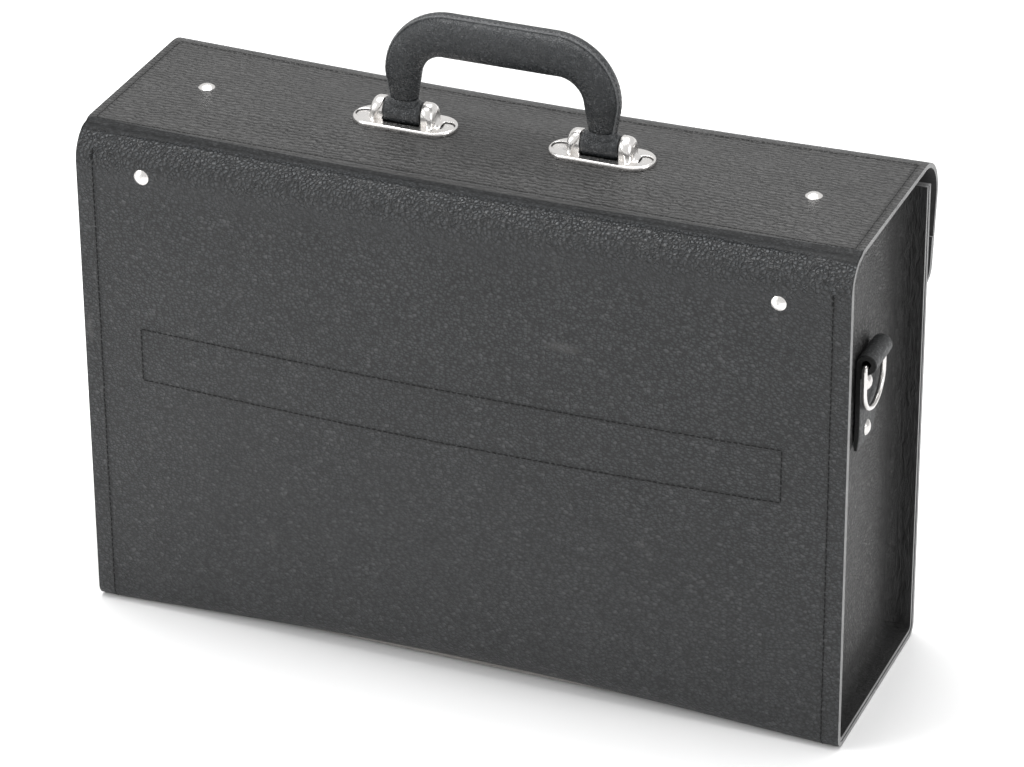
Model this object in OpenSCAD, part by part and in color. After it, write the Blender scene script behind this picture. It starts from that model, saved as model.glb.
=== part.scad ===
// Drafting instrument case: a flanged-gusset case with a hinged lid, a fold-over flap,
// a padded handle, two strap rings and two turning catches.
// X runs along the width, the front faces -Y, and the origin is the middle of the base.

/* [Case] */
// Outer width of the case
case_w = 450; // [400:1:520]
// Height from the base to the top of the lid
case_h = 300; // [270:1:360]
// Depth from the front sheet's face to the back sheet's face
case_d = 135; // [120:1:180]
// Thickness of the main sheet
sheet_t = 2.8; // [2.2:0.1:3.6]
// Outer radius of the two bottom folds
base_r = 8; // [6:0.5:14]
// Depth of the mouth: from the lid's top down to the edge of the front sheet
mouth_drop = 15; // [12:0.5:24]

/* [Gussets] */
// How far each gusset lies in from the sheet's side edge
gusset_recess = 15; // [12:0.5:24]
// Thickness of the gusset leather
gusset_t = 2.2; // [1.6:0.1:3]
// Thickness of the loose board on the bottom
board_t = 2; // [1.2:0.1:4]
// Room round the bottom board
board_gap = 0.5; // [0.3:0.1:2]

/* [Lid and flap] */
// Outer radius of the hinge bend along the back
hinge_r = 20; // [16:1:30]
// Outer radius of the bend between lid and flap
flap_r = 24; // [18:1:30]
// How far the flap stands out in front of the front sheet
flap_stand = 13.6; // [11:0.2:18]
// Length of the flap below its bend
flap_drop = 70; // [50:1:90]
// Radius of the flap's lower corners
flap_corner_r = 28; // [10:1:40]
// Thickness of the strip inside the flap
flap_strip_t = 1.6; // [1:0.1:2.4]
// Height of the strip inside the flap
flap_strip_h = 46; // [30:1:48]
// Thickness of the board sewn into the lid
lid_board_t = 2.2; // [1.5:0.1:4]
// Thickness of the lid's lining
lining_t = 1; // [0.5:0.1:2]
// How far the board and the lining stay in from the lid's edges
lid_margin = 4.5; // [3:0.5:12]
// Gap at rest where the lid meets the case and the flap meets the lid
fold_gap = 0.3; // [0.3:0.1:1]
// Gap between the closed flap and the front sheet
flap_gap = 0.6; // [0.5:0.1:2]

/* [Stiffening bars] */
// Thickness of both steel bars
bar_t = 1.6; // [1:0.1:3]
// Width of the bar under the lid
lid_bar_w = 20; // [16:1:30]
// Width of the bar inside the back
back_bar_w = 12; // [11:0.5:20]
// How far a bar runs past its end rivets
bar_over = 9; // [7:0.5:14]

/* [Rivets] */
// Diameter of the domed rivet heads
rivet_head_d = 9.5; // [8:0.1:11]
// Height of the domed rivet heads
rivet_head_h = 2; // [1.2:0.1:3]
// Diameter of the rivet shanks
rivet_d = 4; // [3:0.1:5]
// Diameter of the clenched ends
clench_d = 7; // [6:0.1:9]
// Thickness of the clenched ends
clench_t = 1; // [0.6:0.1:1.6]
// Distance of the lid's rivets from the side edges
lid_rivet_in = 45; // [30:1:60]
// How far the lid's two rivets are set apart front to back, the one at +X being the front one
lid_rivet_skew = 5.8; // [0:0.1:8]
// Distance of the back's rivets from the side edges
back_rivet_in = 40; // [30:1:60]
// Height of the back's rivet at +X below the start of the hinge bend
high_rivet_drop = 3; // [2.8:0.1:12]
// Height of the back's rivet at -X below the start of the hinge bend
low_rivet_drop = 10; // [6.5:0.5:14]

/* [Handle] */
// Distance between the two legs
handle_pitch = 116; // [100:1:150]
// Height of the grip's middle above the pivot bars
grip_rise = 49.5; // [42:0.5:60]
// Bend radius of the grip's middle line
grip_bend_r = 26; // [20:1:34]
// Height of the grip's section
grip_h = 24.8; // [18:0.2:26]
// Thickness of the grip's section
grip_t = 18; // [14:0.5:22]
// Width of a leg where it meets its loop
leg_w = 14.8; // [12:0.2:18]
// Thickness of a leg where it meets its loop
leg_t = 11; // [9:0.5:12]
// Diameter of the core rod
core_d = 6; // [4:0.5:8]
// Room round the core rod
core_gap = 0.2; // [0.1:0.05:0.5]
// Outer diameter of the loops round the pivot bars
loop_d = 13.8; // [11:0.2:14.4]
// Length of the loops along the pivot bars
loop_w = 21.4; // [18:0.2:30]

/* [Handle brackets] */
// Length of a bracket's plate
plate_l = 61; // [56:1:80]
// Width of a bracket's plate
plate_w = 25; // [22:0.5:32]
// Thickness of a bracket's plate
plate_t = 1.6; // [1.2:0.1:2.2]
// Height of the rim above the plate
rim_h = 0.7; // [0.3:0.1:1.2]
// Width of the rim
rim_w = 1.8; // [1:0.1:3]
// Diameter of the pivot bars
pivot_d = 6; // [4:0.2:7]
// Height of the pivot bars above the lid
pivot_h = 7.5; // [7.5:0.1:10]
// Outer radius of the hoods that hold the bars
hood_r = 8; // [7:0.1:10]
// Length of a hood along the bar
hood_w = 8; // [5:0.2:9]
// Wall of the hoods
hood_wall = 1.5; // [1:0.1:2.5]
// Radius of the hoods' outer corners
hood_corner_r = 4.5; // [2:0.1:5]
// Distance of the bracket rivets from the bracket's middle
plate_rivet_x = 24.5; // [24:0.1:26]
// Diameter of the bracket rivets' countersunk heads
sunk_head_d = 8; // [6:0.1:9]
// Radial running clearance of the moving fits
run_gap = 0.05; // [0.02:0.01:0.1]

/* [Strap rings] */
// Height of the ring loop's middle above the base
ring_z = 209.7; // [150:1:240]
// Wire diameter of the rings
ring_wire = 3.2; // [2.5:0.1:4]
// Room between the wire of a ring and each end of its loop
ring_play = 1; // [0.8:0.1:3]
// Depth of the rings, from the bar's middle to the wire's middle at the bottom
ring_drop = 30.5; // [24:0.5:40]
// Width of the leather tabs
tab_w = 28; // [22:0.5:28]
// Thickness of the leather tabs
tab_t = 3; // [2:0.1:3.5]
// Outer diameter of the loop at the tab's top
tab_loop_d = 11.6; // [10:0.2:12]
// Diameter of the hole through the loop
tab_hole_d = 5.2; // [4.6:0.1:6]
// Length of the tab below the loop's middle
tab_drop = 60; // [52:1:70]
// Distance of the upper tab rivet below the loop's middle
tab_rivet_1 = 17.7; // [16:0.5:19]
// Distance of the lower tab rivet below the loop's middle
tab_rivet_2 = 45.7; // [42:0.5:50]

/* [Instrument strip] */
// Distance of the strip's ends from the case's side edges
strip_in = 36; // [30:1:60]
// Height of the strip
strip_h = 32; // [26:1:44]
// Thickness of the strip and of the loops
strip_t = 1.2; // [0.8:0.1:2]
// Height of the strip's middle above the base
strip_z = 166; // [120:1:200]
// Number of instrument loops
loop_count = 6; // [3:1:6]
// Inner radius of the instrument loops
holder_r = 10.8; // [8:0.2:14]
// Height of the instrument loops
holder_h = 22; // [14:1:26]
// Width of the sewn foot at each side of a loop
holder_foot = 8; // [5:0.5:10]

/* [Catches] */
// Distance of the catches from the case's middle
catch_x = 110; // [70:1:150]
// Distance of a catch's pivot below the flap's edge
catch_drop = 11.5; // [10:0.5:16]
// Length of a catch's base
catch_l = 38; // [34:1:50]
// Height of a catch's base
catch_h = 14; // [12:0.5:16]
// Thickness of a catch's base
catch_t = 1.5; // [1:0.1:2.5]
// Diameter of the boss under the button
boss_d = 12; // [9:0.5:13]
// Length of the turning button
button_l = 32; // [30:1:40]
// Width of the turning button
button_w = 9; // [7:0.5:11]
// Thickness of the turning button
button_t = 2.6; // [2:0.1:3]
// Diameter of the button's post
post_d = 5; // [4:0.1:6]
// Room between the button, the boss and the strike plate
button_gap = 0.4; // [0.3:0.1:1]
// Distance of the small rivets from the middle of their plates
small_rivet_x = 13; // [12.5:0.1:13.5]
// Length of the strike plates
strike_l = 34; // [32:1:50]
// Height of the strike plates
strike_h = 12; // [9:0.5:16]
// Thickness of the strike plates
strike_t = 0.8; // [0.5:0.1:1.5]

/* [Hidden] */
$fn = 64;
// Overlap of cutting shapes past the faces that they cut
cut = 1;
// Overlap of shapes that are joined
joined = 0.01;
half_w = case_w / 2;
half_d = case_d / 2;
front_h = case_h - mouth_drop;
gusset_x = half_w - gusset_recess;
inner_r = base_r - sheet_t;

// Lid: the hinge bend, the flat top and the front bend, as centres of the two bends
hinge_y = half_d - hinge_r;
hinge_z = case_h - hinge_r;
flap_y = -(half_d + flap_stand - flap_r);
flap_z = case_h - flap_r;
lid_l = hinge_y - flap_y - fold_gap;
carry_y = (hinge_y + flap_y) / 2;
board_z = case_h - sheet_t;
lining_z = board_z - lid_board_t;
lid_bar_z = lining_z - lining_t;
under_lid = lid_bar_z - bar_t;
flap_layers = sheet_t + flap_strip_t;
flap_lean = asin((flap_stand - flap_layers - flap_gap) / flap_drop);
// Height of the flap's lower edge at its outer face
flap_edge_z = flap_z - flap_r * sin(flap_lean) - flap_drop * cos(flap_lean);

// Handle and brackets
pivot_z = case_h + pivot_h;
leg_x = handle_pitch / 2;
grip_z = pivot_z + grip_rise;
// Height of the neck between a loop and the leg that stands on it
leg_neck = 1.6;
leg_foot_z = pivot_z + loop_d / 2 + leg_neck;
bend_z = grip_z - grip_bend_r;
hood_gap = 0.3;
// Straight edge under a countersunk head, and the height of its crown
sunk_land = 0.2;
sunk_crown = 0.3;
hood_x = loop_w / 2 + hood_gap;
bracket_half = hood_x + hood_w;

// Rings: the wire rests in the bottom of the loop's hole
tab_x = gusset_x + tab_loop_d / 2;
ring_bar_z = ring_z - (tab_hole_d - ring_wire) / 2 + run_gap;
ring_half = tab_w / 2 + ring_play + ring_wire / 2;
// The wire stays straight a little past the ends of its loop, and turns down outside them
ring_lead = 0.3;
ring_corner_r = ring_play + ring_wire / 2 - ring_lead;

// Catches
catch_z = flap_edge_z - catch_drop;
// The button turns clear of the strike plate at the highest point that it reaches
strike_reach = button_l / 2 - catch_drop;
strike_face = flap_stand - flap_drop * sin(flap_lean) + strike_reach * tan(flap_lean) + strike_t;
button_y = half_d + strike_face + button_gap;
washer_t = 1;
post_head_d = 9;
post_head_t = 1;
small_head_d = 5;
small_head_h = 1;
small_rivet_d = 2.5;
small_clench_t = 0.6;

// The back's two rivets stand at different heights, and their bar slopes with them
back_rivet_x = half_w - back_rivet_in;
high_rivet_z = hinge_z - high_rivet_drop;
low_rivet_z = hinge_z - low_rivet_drop;
back_bar_slope = atan((high_rivet_z - low_rivet_z) / (2 * back_rivet_x));
back_rivet_span = 2 * back_rivet_x / cos(back_bar_slope);
strip_l = case_w - 2 * strip_in;
holder_pitch = strip_l / loop_count;
holder_names = [for (i = [1:6]) str("instrument_loop_", i)];
// Sides and rings of the swept grip
grip_sides = 20;
leg_steps = 4;
arc_steps = 8;

black_leather = [0.13, 0.13, 0.14];
dark_lining = [0.2, 0.2, 0.21];
grey_board = [0.55, 0.54, 0.52];
nickel = [0.8, 0.8, 0.77];
steel = [0.6, 0.6, 0.62];

// ---- shared shapes ----

// A cylinder along X, centred
module along_x(d, l) {
    rotate([0, 90, 0]) cylinder(d = d, h = l, center = true);
}

// A cylinder along Y from y = 0 towards -Y
module towards_front(d, l) {
    rotate([90, 0, 0]) cylinder(d = d, h = l);
}

// Part of a tube along X, between two angles measured from +Y towards +Z
module bend(r, t, w, from, to) {
    rotate([90, 0, 90])
        translate([0, 0, -w / 2])
            rotate([0, 0, from])
                rotate_extrude(angle = to - from, $fn = 96)
                    translate([r - t, 0]) square([t, w]);
}

// Outline with round ends, l long and w wide, centred
module stadium(l, w) {
    square([l - w, w], center = true);
    for (side = [-1, 1]) {
        translate([side * (l - w) / 2, 0]) circle(d = w);
    }
}

// Plain-cornered top, round-cornered bottom: the case's end view, y across and z up
module end_view(depth, bottom, top, r) {
    translate([-depth / 2, bottom + r]) square([depth, top - bottom - r]);
    translate([-depth / 2 + r, bottom]) square([depth - 2 * r, r + joined]);
    for (side = [-1, 1]) {
        translate([side * (depth / 2 - r), bottom + r]) circle(r = r);
    }
}

// Stands a (y, z) outline up and extrudes it along X from x0 to x1
module across(x0, x1) {
    translate([x0, 0, 0]) rotate([90, 0, 90]) linear_extrude(x1 - x0) children();
}

// Domed rivet along Z: its head sits on z = 0, and its shank and clenched end lie below
module rivet(grip, head_d, head_h, shank_d, end_d, end_t) {
    dome_r = (head_d * head_d / 4 + head_h * head_h) / (2 * head_h);
    intersection() {
        translate([0, 0, head_h - dome_r]) sphere(r = dome_r);
        cylinder(d = head_d, h = head_h + cut);
    }
    translate([0, 0, -grip]) cylinder(d = shank_d, h = grip + head_h / 2);
    translate([0, 0, -grip - end_t]) cylinder(d = end_d, h = end_t);
}

module domed_rivet(grip) {
    rivet(grip, rivet_head_d, rivet_head_h, rivet_d, clench_d, clench_t);
}

module small_rivet(grip) {
    rivet(grip, small_head_d, small_head_h, small_rivet_d, small_head_d, small_clench_t);
}

// Places children at both sides, x = -dist and x = dist
module both_sides(dist) {
    for (side = [-1, 1]) {
        translate([side * dist, 0, 0]) children();
    }
}

// ---- case ----

module back_rivet_places() {
    translate([back_rivet_x, half_d, high_rivet_z]) rotate([-90, 0, 0]) children();
    translate([-back_rivet_x, half_d, low_rivet_z]) rotate([-90, 0, 0]) children();
}

module catch_rivet_places() {
    both_sides(catch_x) both_sides(small_rivet_x)
        translate([0, -half_d - catch_t, catch_z]) rotate([90, 0, 0]) children();
}

module body_sheet() {
    color(black_leather)
    difference() {
        across(-half_w, half_w) difference() {
            end_view(case_d, 0, front_h, base_r);
            end_view(case_d - 2 * sheet_t, sheet_t, front_h + cut, inner_r);
            translate([half_d - sheet_t - cut, hinge_z - fold_gap])
                square([sheet_t + 2 * cut, case_h]);
        }
        back_rivet_places()
            translate([0, 0, -sheet_t - cut]) cylinder(d = rivet_d, h = sheet_t + 2 * cut);
        both_sides(catch_x) translate([0, -half_d + sheet_t + cut, catch_z])
            towards_front(post_d + 4 * run_gap, sheet_t + 2 * cut);
        catch_rivet_places()
            translate([0, 0, -catch_t - sheet_t - cut])
                cylinder(d = small_rivet_d, h = sheet_t + catch_t + cut);
    }
}

module tab_rivet_places() {
    for (drop = [tab_rivet_1, tab_rivet_2]) {
        translate([gusset_x + tab_t, carry_y, ring_z - drop]) rotate([0, 90, 0]) children();
    }
}

// The corner of the gusset that the hinge bend takes up
module bend_corner() {
    bend_room = 0.5;
    translate([hinge_y, hinge_z]) difference() {
        translate([0, -fold_gap]) square(hinge_r + cut);
        circle(r = hinge_r - sheet_t - bend_room);
    }
}

// Side panel with its three edges turned outward, for the +X end
module gusset() {
    color(black_leather)
    difference() {
        union() {
            across(gusset_x - gusset_t, gusset_x) difference() {
                end_view(case_d - 2 * sheet_t, sheet_t, front_h, inner_r);
                bend_corner();
            }
            across(gusset_x, half_w) difference() {
                end_view(case_d - 2 * sheet_t, sheet_t, front_h, inner_r);
                end_view(case_d - 2 * (sheet_t + gusset_t), sheet_t + gusset_t,
                         case_h, inner_r - gusset_t);
                translate([0, hinge_z - fold_gap]) square([half_d, case_h]);
            }
        }
        tab_rivet_places()
            translate([0, 0, -tab_t - gusset_t - cut])
                cylinder(d = rivet_d, h = gusset_t + tab_t + cut);
    }
}

module gusset_right() {
    gusset();
}

module gusset_left() {
    mirror([1, 0, 0]) gusset();
}

module bottom_board() {
    board_w = 2 * (gusset_x - gusset_t - board_gap);
    board_d = case_d - 2 * (base_r + board_gap);
    color(grey_board)
    translate([-board_w / 2, -board_d / 2, sheet_t]) cube([board_w, board_d, board_t]);
}

// Sloping bar behind the back, cut level below the hinge bend
module back_bar() {
    color(steel)
    translate([0, half_d - sheet_t, (high_rivet_z + low_rivet_z) / 2])
        rotate([90, 0, 0]) linear_extrude(bar_t) difference() {
            rotate([0, 0, back_bar_slope])
                stadium(back_rivet_span + 2 * bar_over, back_bar_w);
            rotate([0, 0, back_bar_slope])
                both_sides(back_rivet_span / 2) circle(d = rivet_d);
            translate([-half_w, (high_rivet_drop + low_rivet_drop) / 2 - fold_gap])
                square([case_w, back_bar_w + cut]);
        }
}

module back_rivets() {
    color(nickel)
    back_rivet_places() domed_rivet(sheet_t + bar_t);
}

module instrument_strip() {
    color(black_leather)
    translate([-strip_l / 2, half_d - sheet_t - strip_t, strip_z - strip_h / 2])
        cube([strip_l, strip_t, strip_h]);
}

// One arched loop with a sewn foot at each side, opening up and down
module instrument_loop(i) {
    outer_r = holder_r + strip_t;
    color(black_leather)
    translate([(i - (loop_count + 1) / 2) * holder_pitch, half_d - sheet_t - strip_t,
               strip_z - holder_h / 2])
        linear_extrude(holder_h) difference() {
            union() {
                circle(r = outer_r);
                translate([-outer_r - holder_foot, -strip_t])
                    square([2 * (outer_r + holder_foot), strip_t]);
            }
            circle(r = holder_r);
            translate([-outer_r - cut, 0]) square([2 * (outer_r + cut), outer_r + cut]);
        }
}

module ring_tab() {
    color(black_leather)
    difference() {
        union() {
            translate([tab_x, carry_y + tab_w / 2, ring_z])
                towards_front(tab_loop_d, tab_w);
            translate([gusset_x, carry_y - tab_w / 2, ring_z - tab_drop])
                cube([tab_t, tab_w, tab_drop]);
        }
        translate([tab_x, carry_y + tab_w / 2 + cut, ring_z])
            towards_front(tab_hole_d, tab_w + 2 * cut);
        tab_rivet_places()
            translate([0, 0, -tab_t - cut]) cylinder(d = rivet_d, h = tab_t + 2 * cut);
    }
}

module ring_tab_right() {
    ring_tab();
}

module ring_tab_left() {
    mirror([1, 0, 0]) ring_tab();
}

module tab_rivets() {
    color(nickel)
    for (side = [0, 1]) {
        mirror([side, 0, 0]) tab_rivet_places() domed_rivet(tab_t + gusset_t);
    }
}

// Plate with a boss that carries the button's post
module catch_base() {
    boss_h = button_y - button_gap - half_d;
    color(nickel)
    translate([0, -half_d, catch_z]) difference() {
        union() {
            rotate([90, 0, 0]) linear_extrude(catch_t) stadium(catch_l, catch_h);
            towards_front(boss_d, boss_h);
        }
        translate([0, cut, 0]) towards_front(post_d + 2 * run_gap, boss_h + 2 * cut);
        both_sides(small_rivet_x)
            translate([0, cut, 0]) towards_front(small_rivet_d, catch_t + 2 * cut);
    }
}

module catch_base_right() {
    translate([catch_x, 0, 0]) catch_base();
}

module catch_base_left() {
    translate([-catch_x, 0, 0]) catch_base();
}

module catch_base_rivets() {
    color(nickel)
    catch_rivet_places() small_rivet(catch_t + sheet_t);
}

module catch_washers() {
    color(steel)
    both_sides(catch_x) translate([0, -half_d + sheet_t + washer_t, catch_z])
        rotate([90, 0, 0]) linear_extrude(washer_t) difference() {
            circle(d = boss_d);
            circle(d = post_d + 2 * run_gap);
        }
}

// ---- lid ----

module lid_rivet_places() {
    for (side = [-1, 1]) {
        translate([side * (half_w - lid_rivet_in), carry_y - side * lid_rivet_skew / 2, case_h])
            children();
    }
}

module bracket_rivet_places() {
    both_sides(leg_x) both_sides(plate_rivet_x)
        translate([0, carry_y, case_h + plate_t]) children();
}

// Holes for the lid's own rivets and for the bracket rivets, through every layer
module lid_rivet_holes() {
    depth = case_h - under_lid + cut;
    lid_rivet_places() translate([0, 0, -depth]) cylinder(d = rivet_d, h = depth + cut);
    bracket_rivet_places() translate([0, 0, -depth - plate_t])
        cylinder(d = rivet_d, h = depth + 2 * plate_t);
}

// A flat layer of the lid, in from the edges by margin
module lid_layer(z, t, margin) {
    difference() {
        translate([-half_w + margin, flap_y + fold_gap, z - t])
            cube([case_w - 2 * margin, lid_l, t]);
        lid_rivet_holes();
    }
}

module hinge_bend() {
    color(black_leather)
    translate([0, hinge_y, hinge_z]) bend(hinge_r, sheet_t, case_w, 0, 90);
}

module lid_panel() {
    color(black_leather) lid_layer(case_h, sheet_t, 0);
}

module lid_board() {
    color(grey_board) lid_layer(board_z, lid_board_t, lid_margin);
}

module lid_lining() {
    color(dark_lining) lid_layer(lining_z, lining_t, lid_margin);
}

module lid_bar() {
    color(steel)
    difference() {
        translate([0, carry_y, lid_bar_z - bar_t])
            linear_extrude(bar_t) stadium(case_w - 2 * (lid_rivet_in - bar_over), lid_bar_w);
        lid_rivet_holes();
    }
}

module lid_rivets() {
    color(nickel)
    lid_rivet_places() domed_rivet(case_h - under_lid);
}

// Hood over one end of a pivot bar: round over the bar, straight down to the plate.
// Its open side faces -X at x = 0, and its closed end is at x = hood_w.
module hood_solid(r, l, corner) {
    rotate([0, 90, 0]) rotate_extrude() {
        square([r, l - corner]);
        square([r - corner, l]);
        translate([r - corner, l - corner]) intersection() {
            circle(r = corner);
            square(corner);
        }
    }
    translate([0, 0, -pivot_h]) linear_extrude(pivot_h) {
        translate([0, -r]) square([l - corner, 2 * r]);
        translate([0, -r + corner]) square([l, 2 * (r - corner)]);
        for (side = [-1, 1]) {
            translate([l - corner, side * (r - corner)]) circle(r = corner);
        }
    }
}

module hood() {
    difference() {
        hood_solid(hood_r, hood_w, hood_corner_r);
        translate([-cut, 0, 0])
            hood_solid(hood_r - hood_wall, hood_w - hood_wall + cut, hood_corner_r - hood_wall);
        along_x(pivot_d, 4 * hood_w);
        translate([-cut, -plate_w, -pivot_h - plate_w])
            cube([hood_w + hood_corner_r + 2 * cut, 2 * plate_w, plate_w]);
    }
}

// Stadium plate with a raised rim, a window under the loop and a hood at each end of it
module handle_bracket() {
    window_l = 2 * hood_x;
    window_w = loop_d + 2 * hood_gap;
    color(nickel)
    translate([0, carry_y, case_h]) {
        difference() {
            union() {
                linear_extrude(plate_t) stadium(plate_l, plate_w);
                linear_extrude(plate_t + rim_h) difference() {
                    stadium(plate_l, plate_w);
                    stadium(plate_l - 2 * rim_w, plate_w - 2 * rim_w);
                }
            }
            translate([-window_l / 2, -window_w / 2, -cut])
                cube([window_l, window_w, plate_t + 2 * cut]);
            both_sides(plate_rivet_x) sunk_head(cut);
            both_sides(plate_rivet_x) translate([0, 0, -cut])
                cylinder(d = rivet_d, h = plate_t + 2 * cut);
            translate([0, 0, pivot_h]) hood_cuts();
        }
        translate([0, 0, pivot_h]) for (side = [0, 1]) {
            mirror([side, 0, 0]) translate([hood_x, 0, 0]) hood();
        }
    }
}

// Clears the plate inside the hoods
module hood_cuts() {
    for (side = [0, 1]) {
        mirror([side, 0, 0]) translate([hood_x, 0, 0])
            hood_solid(hood_r - hood_wall, hood_w - hood_wall, hood_corner_r - hood_wall);
    }
}

// Conical head of a bracket rivet, flush with the plate's top at z = plate_t
module sunk_head(above) {
    sink = (sunk_head_d - rivet_d) / 2;
    depth = min(sink, plate_t - sunk_land);
    translate([0, 0, plate_t - depth])
        cylinder(d1 = sunk_head_d - 2 * depth, d2 = sunk_head_d, h = depth);
    translate([0, 0, plate_t - joined]) cylinder(d = sunk_head_d, h = above);
}

module handle_bracket_right() {
    translate([leg_x, 0, 0]) handle_bracket();
}

module handle_bracket_left() {
    translate([-leg_x, 0, 0]) handle_bracket();
}

module pivot_bars() {
    color(steel)
    both_sides(leg_x) translate([0, carry_y, pivot_z]) along_x(pivot_d, 2 * bracket_half);
}

module bracket_rivets() {
    grip = case_h - under_lid;
    color(nickel)
    both_sides(leg_x) both_sides(plate_rivet_x) translate([0, carry_y, case_h]) {
        sunk_head(sunk_crown);
        translate([0, 0, -grip]) cylinder(d = rivet_d, h = grip + plate_t);
        translate([0, 0, -grip - clench_t]) cylinder(d = clench_d, h = clench_t);
    }
}

// ---- flap ----

// Moves children to the flap: outer face at y = 0, top edge at z = 0, leaning in with the flap
module at_flap() {
    translate([0, flap_y, flap_z]) rotate([flap_lean, 0, 0])
        translate([0, -flap_r, 0]) children();
}

module flap_outline(w, top, bottom, r) {
    translate([-w / 2, -bottom + r]) square([w, bottom - top - r]);
    translate([-w / 2 + r, -bottom]) square([w - 2 * r, r + joined]);
    for (side = [-1, 1]) {
        translate([side * (w / 2 - r), -bottom + r]) circle(r = r);
    }
}

module strike_rivet_places() {
    both_sides(catch_x) both_sides(small_rivet_x)
        at_flap() translate([0, -strike_t, -flap_drop + strike_h / 2])
            rotate([90, 0, 0]) children();
}

module strike_rivet_holes() {
    strike_rivet_places() translate([0, 0, -flap_layers - strike_t - cut])
        cylinder(d = small_rivet_d, h = flap_layers + strike_t + 2 * cut);
}

// A layer of the flap, from y0 to y0 + t behind its outer face
module flap_layer(y0, t, top, margin) {
    difference() {
        at_flap() translate([0, y0 + t, 0]) rotate([90, 0, 0]) linear_extrude(t)
            flap_outline(case_w - 2 * margin, top, flap_drop, flap_corner_r - margin);
        strike_rivet_holes();
    }
}

module flap_bend() {
    color(black_leather)
    translate([0, flap_y, flap_z]) bend(flap_r, sheet_t, case_w, 90, 180 + flap_lean);
}

module flap_panel() {
    color(black_leather) flap_layer(0, sheet_t, 0, 0);
}

module flap_strip() {
    color(black_leather) flap_layer(sheet_t, flap_strip_t, flap_drop - flap_strip_h, 0);
}

module strike_plates() {
    color(nickel)
    both_sides(catch_x) at_flap()
        translate([0, 0, -flap_drop + strike_h / 2]) rotate([90, 0, 0])
            linear_extrude(strike_t) difference() {
                stadium(strike_l, strike_h);
                both_sides(small_rivet_x) circle(d = small_rivet_d);
            }
}

module strike_rivets() {
    color(nickel)
    strike_rivet_places() small_rivet(strike_t + flap_layers);
}

// ---- handle ----

function between(a, b, u) = a + (b - a) * u;

// One ring of the sweep: middle x and z, direction of its outer side, half height, half thickness
leg_rings = [
    for (i = [0:leg_steps - 1]) let (u = i / leg_steps)
        [leg_x, between(leg_foot_z, bend_z, u), 0,
         between(leg_w, between(leg_w, grip_h, 0.5), u) / 2,
         between(leg_t, between(leg_t, grip_t, 0.6), u) / 2]
];
arc_rings = [
    for (i = [0:arc_steps]) let (u = i / arc_steps, turn = 90 * u)
        [leg_x - grip_bend_r + grip_bend_r * cos(turn), bend_z + grip_bend_r * sin(turn), turn,
         between(between(leg_w, grip_h, 0.5), grip_h, u) / 2,
         between(between(leg_t, grip_t, 0.6), grip_t, u) / 2]
];
right_rings = concat(leg_rings, arc_rings);
ring_count = len(right_rings);
left_rings = [
    for (i = [ring_count - 1:-1:0]) let (ring = right_rings[i])
        [-ring[0], ring[1], 180 - ring[2], ring[3], ring[4]]
];
grip_rings = concat(right_rings, left_rings);

function ring_points(ring, height, thick) = [
    for (s = [0:grip_sides - 1]) let (a = 360 * s / grip_sides, out = height * cos(a))
        [ring[0] + out * cos(ring[2]), thick * sin(a), ring[1] + out * sin(ring[2])]
];

// Faces of the wall between two neighbouring rings of points that start at index first
function wall_faces(first, rings, flip) = [
    for (i = [0:rings - 2], s = [0:grip_sides - 1])
        let (a = first + i * grip_sides, t = (s + 1) % grip_sides,
             quad = [a + s, a + t, a + grip_sides + t, a + grip_sides + s])
            flip ? [quad[3], quad[2], quad[1], quad[0]] : quad
];

// Faces that join an outer ring to the inner ring at one end
function end_faces(outer, inner, flip) = [
    for (s = [0:grip_sides - 1]) let (t = (s + 1) % grip_sides,
        quad = [outer + s, inner + s, inner + t, outer + t])
            flip ? [quad[3], quad[2], quad[1], quad[0]] : quad
];

module handle_grip() {
    n = len(grip_rings);
    bore_r = core_d / 2 + core_gap;
    outer = [for (ring = grip_rings) each ring_points(ring, ring[3], ring[4])];
    inner = [for (ring = grip_rings) each ring_points(ring, bore_r, bore_r)];
    last = (n - 1) * grip_sides;
    inner_start = n * grip_sides;
    color(black_leather)
    translate([0, carry_y, 0]) polyhedron(
        points = concat(outer, inner),
        faces = concat(wall_faces(0, n, false), wall_faces(inner_start, n, true),
                       end_faces(0, inner_start, false),
                       end_faces(last, inner_start + last, true)));
}

module handle_core() {
    n = len(grip_rings);
    core_r = core_d / 2;
    color(steel)
    translate([0, carry_y, 0]) polyhedron(
        points = [for (ring = grip_rings) each ring_points(ring, core_r, core_r)],
        faces = concat(wall_faces(0, n, false),
                       [[for (s = [grip_sides - 1:-1:0]) s]],
                       [[for (s = [0:grip_sides - 1]) (n - 1) * grip_sides + s]]));
}

// Leather wrapped round each pivot bar, with a neck that the leg stands on
module handle_loops() {
    color(black_leather)
    both_sides(leg_x) translate([0, carry_y, pivot_z]) difference() {
        union() {
            along_x(loop_d, loop_w);
            translate([-leg_w / 2, -leg_t / 2, 0])
                cube([leg_w, leg_t, leg_foot_z - pivot_z]);
        }
        along_x(pivot_d + 2 * run_gap, loop_w + 2 * cut);
    }
}

// ---- strap rings ----

// Quarter bend of the ring's wire, from +Y to +Z directions of its own corner
module wire_arc(r, from, to) {
    rotate([90, 0, 90]) rotate([0, 0, from])
        rotate_extrude(angle = to - from) translate([r, 0]) circle(d = ring_wire, $fn = 32);
}

// Ring in the YZ plane, hanging from its bar at z = 0
module ring_shape() {
    straight = ring_drop - ring_half;
    translate([0, ring_half - ring_corner_r, 0])
        towards_front(ring_wire, 2 * (ring_half - ring_corner_r));
    for (side = [0, 1]) {
        mirror([0, side, 0]) {
            translate([0, ring_half - ring_corner_r, -ring_corner_r])
                wire_arc(ring_corner_r, 0, 90);
            translate([0, ring_half, -straight])
                cylinder(d = ring_wire, h = straight - ring_corner_r);
        }
    }
    translate([0, 0, -straight]) wire_arc(ring_half, 180, 360);
}

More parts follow.
